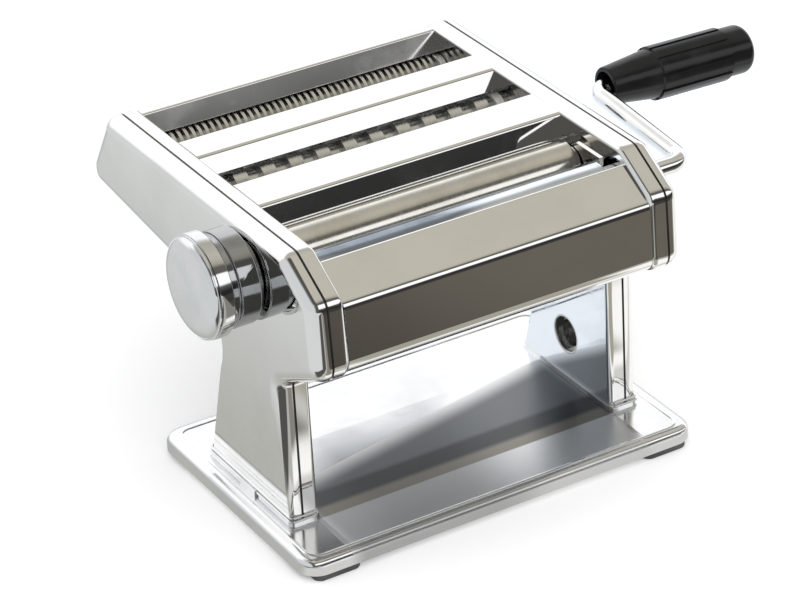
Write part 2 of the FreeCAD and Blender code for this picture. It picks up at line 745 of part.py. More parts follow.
def front_cover():
    """Rolled lip, slanted panel, upright panel and the wrap under the chin."""
    chin = cheek_outline(COVER_INSET)[8]
    crook = cheek_outline(COVER_INSET)[9]
    run = math.hypot(crook[0] - chin[0], crook[1] - chin[1])
    wrap_end = [chin[axis] + (crook[axis] - chin[axis]) * CHIN_WRAP / run for axis in (0, 1)]
    path = [
        (LIP_Y + LIP_LEAN, LIP_Z - LIP_DROP, 0),
        (LIP_Y + LIP_LEAN / 2, LIP_Z, LIP_R),
        (COVER_KNEE_Y, COVER_KNEE_Z, COVER_KNEE_R),
        chin,
        (wrap_end[0], wrap_end[1], 0),
    ]
    return sheet_x(path, PANEL_SHEET, -PLATE_X, PLATE_X)


def top_bar(front_y, rear_y, guide_y, guide_z):
    """Flat top with a short flange behind and a guide panel in front."""
    path = [
        (rear_y, BAR_TOP_Z - BAR_FLANGE, 0),
        (rear_y, BAR_TOP_Z, BAR_REAR_R),
        (front_y, BAR_TOP_Z, BAR_FRONT_R),
        (guide_y, guide_z, 0),
    ]
    return sheet_x(path, PANEL_SHEET, -PLATE_X, PLATE_X)


def rear_cover():
    """Guide panel behind the fine cutter, then the tail's outline down and under."""
    leg_top, tail_low, tail, rear_top = cheek_outline(COVER_INSET)[2:6]
    slope = (tail_low[1] - leg_top[1]) / (tail_low[0] - leg_top[0])
    path = [
        (tail_low[0] - REAR_WRAP, tail_low[1] - REAR_WRAP * slope, 0),
        tail_low,
        tail,
        rear_top,
        (REAR_PANEL_TOP_Y, rear_top[1], BAR_REAR_R),
        (REAR_PANEL_LOW_Y, REAR_PANEL_LOW_Z, 0),
    ]
    return sheet_x(path, PANEL_SHEET, -PLATE_X, PLATE_X)


# Tie rods and the gear case

def tie_rods():
    rods = []
    for y, z in TIES:
        body = cylinder_x(TIE_ROD_R, -PLATE_X, PLATE_X, y, z)
        end_x = tie_nut_x((y, z)) + TIE_NUT_HEIGHT + TIE_THREAD_PROUD
        left_end = SHEET_X + TIE_NUT_HEIGHT + TIE_THREAD_PROUD
        rods.append(joined([body, cylinder_x(TIE_THREAD_R, -left_end, end_x, y, z)]))
    return rods


def tie_nut_x(tie):
    """Where the right-hand nut of a tie rod seats."""
    return SHEET_X if tie == CHIN_TIE else SUPPORT_END_X


def tie_nuts():
    nuts = []
    for y, z in TIES:
        bore_r = TIE_THREAD_R + RUNNING_CLEARANCE
        left = hexagon_x(TIE_NUT_FLATS, -SHEET_X - TIE_NUT_HEIGHT, -SHEET_X, y, z)
        nuts.append(left.cut(cylinder_x(bore_r, -SHEET_X - TIE_NUT_HEIGHT, -SHEET_X, y, z)))
        x = tie_nut_x((y, z))
        right = hexagon_x(TIE_NUT_FLATS, x, x + TIE_NUT_HEIGHT, y, z)
        nuts.append(right.cut(cylinder_x(bore_r, x, x + TIE_NUT_HEIGHT, y, z)))
    return nuts


def gear_support_spacers():
    bore_r = TIE_THREAD_R + RUNNING_CLEARANCE
    return [ring_x(TIE_SPACER_R, bore_r, SHEET_X, SUPPORT_X, y, z) for y, z in GEAR_CASE_TIES]


def gear_support_plate():
    """Plate that carries the crank ends of the driven shafts and the adjuster's far end."""
    low_z = ROLLER_Z - COLLAR_R - SUPPORT_PLATE_R
    high_z = MIDDLE_TIE_Z + TIE_SPACER_R
    tail_low_z = TAIL_TIE_Z - TIE_SPACER_R
    corners = [
        (ROLLER_Y - COLLAR_R - SUPPORT_PLATE_R, low_z, SUPPORT_PLATE_R),
        (FINE_REAR_Y, tail_low_z, SUPPORT_PLATE_R),
        (TAIL_TIE_Y + TIE_SPACER_R, tail_low_z, TIE_SPACER_R),
        (TAIL_TIE_Y + TIE_SPACER_R, TAIL_TIE_Z + TIE_SPACER_R, TIE_SPACER_R),
        (FINE_REAR_Y, high_z, SUPPORT_PLATE_R),
        (ROLLER_Y - COLLAR_R - SUPPORT_PLATE_R, high_z, SUPPORT_PLATE_R),
    ]
    places = [(COLLAR_R, y, z) for y, z in DRIVEN_AXES]
    places += [(TIE_THREAD_R, y, z) for y, z in GEAR_CASE_TIES]
    places.append((FAR_JOURNAL_R, KNOB_Y, KNOB_Z))
    holes = []
    for radius, y, z in places:
        holes.append(cylinder_x(radius + RUNNING_CLEARANCE, SUPPORT_X, SUPPORT_END_X, y, z))
    return without(prism_x(corners, SUPPORT_X, SUPPORT_END_X), holes)


def flanged_bush(journal_r, body_r, flange_r, shoulder_x, y, z):
    """Bush in the right cheek plate, with its flange on the plate's far side."""
    body = cylinder_x(body_r, shoulder_x + BUSH_INNER_GAP, SHEET_X, y, z)
    flange = cylinder_x(flange_r, SHEET_X, BUSH_OUTER_X, y, z)
    bore = cylinder_x(journal_r + RUNNING_CLEARANCE, shoulder_x, BUSH_OUTER_X, y, z)
    return joined([body, flange]).cut(bore)


def shaft_bushes(axes, shoulder_x):
    bushes = []
    for y, z in axes:
        bushes += both_sides(flanged_bush(JOURNAL_R, BUSH_BODY_R, BUSH_FLANGE_R, shoulder_x, y, z))
    return bushes


def adjuster_bush():
    place = (ROLLER_END_X, KNOB_Y, KNOB_Z)
    return mirrored(flanged_bush(KNOB_JOURNAL_R, KNOB_BUSH_R, KNOB_BUSH_FLANGE_R, *place))


# Gears and shafts

def gear(root_r, tip_r, bore_r, y, z, first_tooth):
    """Spur gear whose first tooth points at an angle from +Y towards +Z."""
    corners = []
    for index in range(GEAR_TEETH):
        middle = first_tooth + 2 * math.pi * index / GEAR_TEETH
        for radius, half_width in (
            (root_r, -TOOTH_ROOT_WIDTH / 2),
            (tip_r, -TOOTH_TIP_WIDTH / 2),
            (tip_r, TOOTH_TIP_WIDTH / 2),
            (root_r, TOOTH_ROOT_WIDTH / 2),
        ):
            angle = middle + half_width / radius
            corners.append((y + radius * math.cos(angle), z + radius * math.sin(angle), 0))
    blank = prism_x(corners, GEAR_X, GEAR_END_X)
    return blank.cut(cylinder_x(bore_r, GEAR_X, GEAR_END_X, y, z))


def roller_gear_radii():
    closest = 2 * ROLLER_R + ROLLER_GAP_MIN
    root_r = (closest - ROLLER_TOOTH_DEPTH - GEAR_ROOT_CLEARANCE) / 2
    return root_r, root_r + ROLLER_TOOTH_DEPTH


def cutter_gear_radii():
    root_r = (CUTTER_SPACING - CUTTER_TOOTH_DEPTH - GEAR_ROOT_CLEARANCE) / 2
    return root_r, root_r + CUTTER_TOOTH_DEPTH


MESHING_TOOTH = math.pi + math.pi / GEAR_TEETH


def crank_bore(y, z):
    return cylinder_x(CRANK_R + CRANK_CLEARANCE, CRANK_TIP_X - CRANK_END_GAP, COLLAR_END_X, y, z)


def drive_roller():
    body = cylinder_x(ROLLER_R, -ROLLER_END_X, ROLLER_END_X, ROLLER_Y, ROLLER_Z)
    shaft = cylinder_x(JOURNAL_R, -BUSH_OUTER_X - LEFT_SHAFT_END, SHAFT_END_X, ROLLER_Y, ROLLER_Z)
    return joined([body, shaft]).cut(crank_bore(ROLLER_Y, ROLLER_Z))


def crank_collar(y, z):
    """Collar whose slot takes the crank's cross pin."""
    collar = ring_x(COLLAR_R, CRANK_R + CRANK_CLEARANCE, SHAFT_END_X, COLLAR_END_X, y, z)
    slot = Part.makeBox(
        COLLAR_SLOT_DEPTH,
        2 * COLLAR_R,
        COLLAR_SLOT,
        vector(COLLAR_END_X - COLLAR_SLOT_DEPTH, y - COLLAR_R, z - COLLAR_SLOT / 2),
    )
    return collar.cut(slot)


def adjustable_roller():
    """Hollow roller that turns on its sleeves, with a hollow journal for its gear."""
    body = cylinder_x(ROLLER_R, -ROLLER_END_X, ROLLER_END_X, KNOB_Y, MOVING_Z)
    journal = cylinder_x(HOLLOW_JOURNAL_R, ROLLER_END_X, SHAFT_END_X, KNOB_Y, MOVING_Z)
    bore = cylinder_x(SLEEVE_R + RUNNING_CLEARANCE, -ROLLER_END_X, SHAFT_END_X, KNOB_Y, MOVING_Z)
    return joined([body, journal]).cut(bore)


def roller_sleeves():
    inner_r = ADJUSTER_CORE_R + RUNNING_CLEARANCE
    left = ring_x(SLEEVE_R, inner_r, -ROLLER_END_X, -ROLLER_END_X + SLEEVE_LENGTH, KNOB_Y, MOVING_Z)
    right = ring_x(SLEEVE_R, inner_r, SHAFT_END_X - 2 * SLEEVE_LENGTH, SHAFT_END_X, KNOB_Y, MOVING_Z)
    return [left, right]


def adjuster_shaft():
    """Eccentric core between two journals, with a flatted end and a stud for the knob."""
    core_end_x = SHAFT_END_X + RIGHT_SHAFT_PROUD
    core_start_x = -ROLLER_END_X - BUSH_INNER_GAP / 2
    core = cylinder_x(ADJUSTER_CORE_R, core_start_x, core_end_x, KNOB_Y, MOVING_Z)
    journal = cylinder_x(KNOB_JOURNAL_R, -INDEX_FACE_X, core_start_x, KNOB_Y, KNOB_Z)
    far_end_x = core_end_x + FAR_JOURNAL_LENGTH
    far_journal = cylinder_x(FAR_JOURNAL_R, core_end_x, far_end_x, KNOB_Y, KNOB_Z)
    knob_end = flatted_bar(KNOB_SHAFT_R, KNOB_FLAT, -KNOB_NUT_X, -INDEX_FACE_X)
    stud_end_x = KNOB_NUT_X + NUT_HEIGHT + STUD_PROUD
    stud = cylinder_x(STUD_R, -stud_end_x, -KNOB_NUT_X, KNOB_Y, KNOB_Z)
    return joined([core, journal, far_journal, knob_end, stud])


def flatted_bar(radius, flat, x0, x1):
    """Round bar on the knob's axis with one flat on its upper side."""
    bar = cylinder_x(radius, x0, x1, KNOB_Y, KNOB_Z)
    above = Part.makeBox(x1 - x0, 2 * radius, radius, vector(x0, KNOB_Y - radius, KNOB_Z + flat))
    return bar.cut(above)


# Cutters and combs

def disc_places(pitch):
    """Middles of one cutter's discs; the other cutter of the pair is its mirror image."""
    half_count = int(CUTTER_END_X / pitch) + 1
    return [pitch * (index + 0.25) for index in range(-half_count, half_count)]


def cutter(axis_y, cut, pitch, flip, has_crank_end):
    """Cutter roller: a core with equal discs, turned in one piece with its journals."""
    half = CUTTER_END_X
    profile = [(-half, 0, 0), (-half, CUTTER_CORE_R, 0)]
    for middle in disc_places(pitch):
        start = max(middle - cut / 2, -half)
        end = min(middle + cut / 2, half)
        if end <= start:
            continue
        if start > -half:
            profile.append((start, CUTTER_CORE_R, 0))
        else:
            profile.pop()
        profile.append((start, CUTTER_DISC_R, 0))
        profile.append((end, CUTTER_DISC_R, 0))
        profile.append((end, CUTTER_CORE_R, 0))
    profile += [(half, CUTTER_CORE_R, 0), (half, 0, 0)]
    blades = turned_x(profile, axis_y, CUTTER_Z)
    if flip:
        blades = mirrored(blades)
    shaft = cylinder_x(JOURNAL_R, -BUSH_OUTER_X - LEFT_SHAFT_END, SHAFT_END_X, axis_y, CUTTER_Z)
    roller = joined([blades, shaft])
    return roller.cut(crank_bore(axis_y, CUTTER_Z)) if has_crank_end else roller


def comb(axis_y, outward, cut, pitch, finger_gap, flip):
    """Upright strip with a finger in each groove of its cutter."""
    groove = pitch - cut
    half_finger = groove / 2 - finger_gap
    sign = -1 if flip else 1
    low_z = CUTTER_Z - COMB_LOW
    root_z = CUTTER_Z - COMB_FINGER_LOW
    top_z = CUTTER_Z + COMB_FINGER_TOP
    limit = CUTTER_END_X - finger_gap
    corners = [(-PLATE_X, low_z, 0), (PLATE_X, low_z, 0), (PLATE_X, root_z, 0)]
    middles = sorted((sign * (middle + pitch / 2) for middle in disc_places(pitch)), reverse=True)
    for middle in middles:
        high = middle + half_finger
        low = middle - half_finger
        if high < limit and low > -limit:
            corners += [(high, root_z, 0), (high, top_z, 0), (low, top_z, 0), (low, root_z, 0)]
    corners.append((-PLATE_X, root_z, 0))
    near = axis_y + outward * (CUTTER_CORE_R + COMB_GAP)
    far = near + outward * COMB_SHEET
    return prism_y(corners, min(near, far), max(near, far))


def scraper(roller_y, roller_z, side):
    """Flat blade whose edge lies just clear of a smooth roller's underside."""
    reach = ROLLER_R + SCRAPER_GAP
    angle = math.radians(SCRAPER_ANGLE_DEG)
    slope = math.radians(SCRAPER_SLOPE_DEG)
    tip_y = roller_y + side * reach * math.cos(angle)
    tip_z = roller_z - reach * math.sin(angle)
    foot_y = tip_y + side * SCRAPER_LENGTH * math.cos(slope)
    foot_z = tip_z - SCRAPER_LENGTH * math.sin(slope)
    path = [(foot_y, foot_z, 0), (tip_y, tip_z, 0)]
    return sheet_x(path, side * SCRAPER_SHEET, -PLATE_X, PLATE_X)


def roller_side_guide():
    """Upright plate at the right end of the smooth rollers, cut round their journals."""
    outline = [
        (GUIDE_FRONT_Y, GUIDE_LOW_Z, 0),
        (GUIDE_REAR_LOW_Y, GUIDE_LOW_Z, 0),
        (GUIDE_REAR_Y, GUIDE_TOP_Z, 0),
        (GUIDE_FRONT_Y, GUIDE_TOP_Z, 0),
    ]
    plate = prism_x(outline, PLATE_X - GUIDE_THICKNESS, PLATE_X)
    bush_gap = BUSH_BODY_R + JOURNAL_HOLE_GAP
    tools = [
        cylinder_x(bush_gap, PLATE_X - GUIDE_THICKNESS, PLATE_X, ROLLER_Y, ROLLER_Z),
        cylinder_x(MOVING_JOURNAL_HOLE_R, PLATE_X - GUIDE_THICKNESS, PLATE_X, KNOB_Y, KNOB_Z),
    ]
    return without(plate, tools)


# Thickness knob

def index_plate():
    """Ring behind the knob with one hole for each thickness setting."""
    inner_r = KNOB_JOURNAL_R + RUNNING_CLEARANCE
    ring = ring_x(INDEX_PLATE_R, inner_r, -INDEX_FACE_X, -OUTER_X, KNOB_Y, KNOB_Z)
    holes = []
    for step in range(KNOB_STEPS + 1):
        angle = math.radians(90 - KNOB_TRAVEL_DEG / 2 + step * KNOB_TRAVEL_DEG / KNOB_STEPS)
        y = KNOB_Y + INDEX_CIRCLE_R * math.cos(angle)
        z = KNOB_Z + INDEX_CIRCLE_R * math.sin(angle)
        holes.append(cylinder_x(INDEX_HOLE_R, -INDEX_FACE_X, -OUTER_X, y, z))
    return without(ring, holes)


def index_pin():
    tip_x = -INDEX_FACE_X - INDEX_LIFT
    return cylinder_x(INDEX_PIN_R, tip_x - INDEX_PIN_LENGTH, tip_x, KNOB_Y, KNOB_Z + INDEX_CIRCLE_R)


def knob_body():
    """Flange with its skirt round the index plate, waist, spring cavity and flatted bore."""
    web_x = KNOB_BASE_X + KNOB_WEB
    skirt_inner_r = INDEX_PLATE_R + KNOB_SKIRT_SIDE_GAP
    profile = [
        (-KNOB_BASE_X, 0, 0),
        (-web_x, 0, 0),
        (-web_x, KNOB_CAVITY_R, 0),
        (-KNOB_CAP_X, KNOB_CAVITY_R, 0),
        (-KNOB_CAP_X, KNOB_WAIST_R, 0),
        (-KNOB_WAIST_X, KNOB_WAIST_R, KNOB_EDGE_R),
        (-KNOB_WAIST_X, KNOB_FLANGE_R, KNOB_EDGE_R),
        (-KNOB_SKIRT_X, KNOB_FLANGE_R, KNOB_EDGE_R),
        (-KNOB_SKIRT_X, skirt_inner_r, 0),
        (-KNOB_BASE_X, skirt_inner_r, 0),
    ]
    flat = KNOB_FLAT + RUNNING_CLEARANCE
    bore = flatted_bar(KNOB_SHAFT_R + RUNNING_CLEARANCE, flat, -web_x, -KNOB_BASE_X)
    return without(turned_x(profile, KNOB_Y, KNOB_Z), [bore, index_pin()])


def knob_cap():
    """Cap with its rim and slightly domed front, hollow over the stud."""
    hollow_x = KNOB_RIM_X - KNOB_CAP_WALL
    centre_x = -KNOB_RIM_X - KNOB_DOME
    profile = [
        (-KNOB_CAP_X, KNOB_CAVITY_R, 0),
        (-hollow_x, KNOB_CAVITY_R, 0),
        (-hollow_x, 0, 0),
        (centre_x, 0, 0),
        (centre_x, KNOB_CAP_R / 2, KNOB_CAP_R),
        (-KNOB_RIM_X, KNOB_CAP_R, KNOB_CAP_EDGE_R),
        (-KNOB_CAP_X, KNOB_CAP_R, KNOB_EDGE_R),
    ]
    return turned_x(profile, KNOB_Y, KNOB_Z)


def knob_nut():
    """Flanged nut that keeps the knob and its spring on the shaft."""
    flange = cylinder_x(NUT_FLANGE_R, -KNOB_NUT_X - NUT_FLANGE, -KNOB_NUT_X, KNOB_Y, KNOB_Z)
    body = hexagon_x(NUT_FLATS, -KNOB_NUT_X - NUT_HEIGHT, -KNOB_NUT_X - NUT_FLANGE, KNOB_Y, KNOB_Z)
    bore = cylinder_x(STUD_R + RUNNING_CLEARANCE, -KNOB_NUT_X - NUT_HEIGHT, -KNOB_NUT_X, KNOB_Y, KNOB_Z)
    return joined([flange, body]).cut(bore)


def knob_spring():
    """Coil spring between the knob's web and its nut."""
    gap = RUNNING_CLEARANCE + SPRING_WIRE_R
    start_x = KNOB_BASE_X + KNOB_WEB + gap
    length = KNOB_NUT_X - gap - start_x
    helix = Part.makeHelix(length / SPRING_TURNS, length, SPRING_R)
    section = Part.Wire(Part.makeCircle(SPRING_WIRE_R, vector(SPRING_R, 0, 0), vector(0, 1, 0)))
    coil = Part.Wire(helix.Edges).makePipeShell([section], True, True)
    coil.rotate(vector(0, 0, 0), vector(0, 1, 0), -90)
    coil.translate(vector(-start_x, KNOB_Y, KNOB_Z))
    return coil


# Crank and grip

def crank_points():
    """Crank's centre line: tip in the roller, two bends, end inside the grip."""
    lift = math.radians(CRANK_LIFT_DEG)
    arm = vector(0, math.cos(lift), math.sin(lift))
    first = vector(CRANK_ARM_X, ROLLER_Y, ROLLER_Z)
    second = first + arm * CRANK_ARM_LENGTH
    end = second + grip_direction() * (GRIP_START + GRIP_ROD_DEPTH)
    return [vector(CRANK_TIP_X, ROLLER_Y, ROLLER_Z), first, second, end]


def grip_direction():
    droop = math.radians(GRIP_DROOP_DEG)
    return vector(math.cos(droop), 0, -math.sin(droop))


def crank():
    """Bent round rod with the cross pin that the collar drives."""
    points = crank_points()
    path = rounded_path(points, [0, CRANK_BEND_R, CRANK_BEND_R, 0], False)
    circle = Part.Wire(Part.makeCircle(CRANK_R, points[0], vector(1, 0, 0)))
    rod = path.makePipeShell([circle], True, False)
    pin_x = COLLAR_END_X - COLLAR_SLOT_DEPTH + CROSS_PIN_R + CRANK_CLEARANCE
    pin_start = vector(pin_x, ROLLER_Y - CROSS_PIN_LENGTH / 2, ROLLER_Z)
    pin = Part.makeCylinder(CROSS_PIN_R, CROSS_PIN_LENGTH, pin_start, vector(0, 1, 0))
    return joined([rod, pin])


def on_grip_axis(shape):
    """Move a shape made along X from the origin to the grip's axis."""
    shape.rotate(vector(0, 0, 0), vector(0, 1, 0), GRIP_DROOP_DEG)
    shape.translate(crank_points()[2])
    return shape


def crank_grip():
    """Hollow moulded grip: open mouth, taper, ribbed middle and plain rounded end."""
    rod_r = CRANK_R + CRANK_CLEARANCE
    rod_end = GRIP_START + GRIP_ROD_DEPTH + CRANK_END_GAP
    start = GRIP_START
    end = start + GRIP_LENGTH
    ribs_start = start + GRIP_TAPER
    ribs_end = start + GRIP_RIB_END
    profile = [
        (start, GRIP_MOUTH_R - GRIP_WALL, 0),
        (start, GRIP_MOUTH_R, GRIP_WALL / 2),
        (ribs_start, GRIP_TAPER_R, 0),
        (ribs_start + GRIP_RIB_CHAMFER, GRIP_RIB_R, 0),
        (ribs_end - GRIP_RIB_CHAMFER, GRIP_RIB_R, 0),
        (ribs_end, GRIP_PLAIN_R, 0),
        (end, GRIP_PLAIN_R, GRIP_END_R),
        (end, 0, 0),
        (rod_end, 0, 0),
        (rod_end, rod_r, 0),
        (start + GRIP_MOUTH_DEPTH, rod_r, 0),
        (start + GRIP_MOUTH_DEPTH, GRIP_MOUTH_R - GRIP_WALL, 0),
    ]
    body = turned_x(profile, 0, 0)
    height = 2 * (GRIP_RIB_R - GRIP_TAPER_R)
    grooves = []
    for index in range(GRIP_RIBS):
        corner = vector(ribs_start, -GRIP_GROOVE_WIDTH / 2, GRIP_TAPER_R)
        groove = Part.makeBox(GRIP_RIB_END - GRIP_TAPER, GRIP_GROOVE_WIDTH, height, corner)
        groove.rotate(vector(0, 0, 0), vector(1, 0, 0), 360 * index / GRIP_RIBS)
        grooves.append(groove)
    return on_grip_axis(without(body, grooves))


def grip_washer():
    """Push-on washer on the rod, at the bottom of the grip's mouth."""
    end = GRIP_START + GRIP_MOUTH_DEPTH - CRANK_CLEARANCE
    washer = ring_x(WASHER_R, CRANK_R, end - WASHER_THICKNESS, end, 0, 0)
    return on_grip_axis(washer)


def main():
    os.makedirs("parts", exist_ok=True)

    save("base_tray", base_tray())
    save("rubber_feet", *rubber_feet())
    save("base_screws", *base_screws())
    save("base_nuts", *base_nuts())

    save("right_cheek_plate", cheek_plate(right_bores()))
    save("left_cheek_plate", mirrored(cheek_plate(left_bores())))
    save("right_cheek_cover", cheek_cover([(CRANK_HOLE_R, y, z) for y, z in DRIVEN_AXES]))
    journal_hole = (KNOB_JOURNAL_R + JOURNAL_HOLE_GAP, KNOB_Y, KNOB_Z)
    save("left_cheek_cover", mirrored(cheek_cover([journal_hole])))
    save("right_seam_strip", seam_strip())
    save("left_seam_strip", mirrored(seam_strip()))
    save("clamp_socket", clamp_socket())

    save("front_cover", front_cover())
    save("front_top_bar", top_bar(FRONT_BAR_FRONT_Y, FRONT_BAR_REAR_Y, FRONT_GUIDE_Y, FRONT_GUIDE_Z))
    save("rear_top_bar", top_bar(REAR_BAR_FRONT_Y, REAR_BAR_REAR_Y, REAR_GUIDE_Y, REAR_GUIDE_Z))
    save("rear_cover", rear_cover())
    save("tie_rods", *tie_rods())
    save("tie_rod_nuts", *tie_nuts())
    save("gear_support_plate", gear_support_plate())
    save("gear_support_spacers", *gear_support_spacers())
    save("roller_side_guides", *both_sides(roller_side_guide()))

    save("drive_roller_bushes", *shaft_bushes([(ROLLER_Y, ROLLER_Z)], ROLLER_END_X))
    save("wide_cutter_bushes", *shaft_bushes(WIDE_AXES, CUTTER_END_X))
    save("fine_cutter_bushes", *shaft_bushes(FINE_AXES, CUTTER_END_X))
    save("adjuster_bush", adjuster_bush())

    root_r, tip_r = roller_gear_radii()
    save("drive_roller", drive_roller())
    save("drive_roller_gear", gear(root_r, tip_r, JOURNAL_R, ROLLER_Y, ROLLER_Z, 0))
    save("drive_roller_collar", crank_collar(ROLLER_Y, ROLLER_Z))
    save("adjustable_roller", adjustable_roller())
    moving_gear = gear(root_r, tip_r, HOLLOW_JOURNAL_R, KNOB_Y, MOVING_Z, MESHING_TOOTH)
    save("adjustable_roller_gear", moving_gear)
    save("roller_sleeves", *roller_sleeves())
    save("adjuster_shaft", adjuster_shaft())
    save("front_roller_scraper", scraper(ROLLER_Y, ROLLER_Z, -1))
    nearest_y = KNOB_Y + (ROLLER_GAP_MAX - ROLLER_GAP_MIN) / 2
    save("rear_roller_scraper", scraper(nearest_y, MOVING_Z - ECCENTRICITY / 2, 1))

    root_r, tip_r = cutter_gear_radii()
    for name, axes, cut, pitch, finger_gap, front_flip in (
        ("wide", WIDE_AXES, WIDE_CUT, WIDE_PITCH, WIDE_FINGER_GAP, False),
        ("fine", FINE_AXES, FINE_CUT, FINE_PITCH, FINE_FINGER_GAP, True),
    ):
        front_y = axes[0][0]
        rear_y = axes[1][0]
        save(f"{name}_front_cutter", cutter(front_y, cut, pitch, front_flip, True))
        save(f"{name}_front_gear", gear(root_r, tip_r, JOURNAL_R, front_y, CUTTER_Z, 0))
        save(f"{name}_front_collar", crank_collar(front_y, CUTTER_Z))
        save(f"{name}_rear_cutter", cutter(rear_y, cut, pitch, not front_flip, False))
        save(f"{name}_rear_gear", gear(root_r, tip_r, JOURNAL_R, rear_y, CUTTER_Z, MESHING_TOOTH))
        save(f"{name}_front_comb", comb(front_y, -1, cut, pitch, finger_gap, front_flip))
        save(f"{name}_rear_comb", comb(rear_y, 1, cut, pitch, finger_gap, not front_flip))

    save("index_plate", index_plate())
    save("index_pin", index_pin())
    save("knob_body", knob_body())
    save("knob_cap", knob_cap())
    save("knob_spring", knob_spring())
    save("knob_nut", knob_nut())

    save("crank", crank())
    save("crank_grip", crank_grip())
    save("grip_washer", grip_washer())


if __name__ == "__main__":
    main()
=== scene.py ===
"""Dresses the hand-cranked pasta machine: polished sheet, ground rollers, knob, crank and studio."""

import logging
import math
from dataclasses import dataclass, replace
from enum import Enum

import bpy
from mathutils import Matrix, Vector


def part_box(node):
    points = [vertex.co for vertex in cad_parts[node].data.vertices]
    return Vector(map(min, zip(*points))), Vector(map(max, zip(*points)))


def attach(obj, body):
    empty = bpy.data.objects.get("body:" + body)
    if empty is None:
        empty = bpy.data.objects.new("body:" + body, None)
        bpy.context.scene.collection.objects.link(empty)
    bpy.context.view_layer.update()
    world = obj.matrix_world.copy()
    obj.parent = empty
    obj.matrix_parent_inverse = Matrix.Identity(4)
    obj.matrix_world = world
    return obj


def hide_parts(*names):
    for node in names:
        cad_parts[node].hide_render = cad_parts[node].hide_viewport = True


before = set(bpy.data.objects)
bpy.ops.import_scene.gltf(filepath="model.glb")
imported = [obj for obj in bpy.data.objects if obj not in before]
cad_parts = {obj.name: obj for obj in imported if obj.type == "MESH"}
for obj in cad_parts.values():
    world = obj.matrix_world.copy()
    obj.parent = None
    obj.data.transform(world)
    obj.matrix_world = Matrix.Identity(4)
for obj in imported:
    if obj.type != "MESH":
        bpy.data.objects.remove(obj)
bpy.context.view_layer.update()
log = logging.getLogger("pasta_machine")


class Side(Enum):
    """The two ends of the machine, seen from the front."""

    LEFT = "left"
    RIGHT = "right"


class StripSize(Enum):
    """The two cutters, named by the strips that they cut."""

    WIDE = "wide"
    FINE = "fine"


class Slot(Enum):
    """The material slots that the finishes belong to."""

    POLISHED_STEEL = "polished_steel"
    TRAY_STEEL = "tray_steel"
    ROLLER_STEEL = "roller_steel"
    CUTTER_METAL = "cutter_metal"
    KNOB_CHROME = "knob_chrome"
    CRANK_CHROME = "crank_chrome"
    GRIP_PLASTIC = "grip_plastic"
    SEAM_PLASTIC = "seam_plastic"
    FOOT_RUBBER = "foot_rubber"
    BUSH_PLASTIC = "bush_plastic"
    SCRAPER_PLASTIC = "scraper_plastic"
    GEAR_STEEL = "gear_steel"
    FASTENER_STEEL = "fastener_steel"
    SPRING_STEEL = "spring_steel"


Colour = tuple[float, float, float]
Span = tuple[float, float]
Socket = bpy.types.NodeSocket


# Node trees

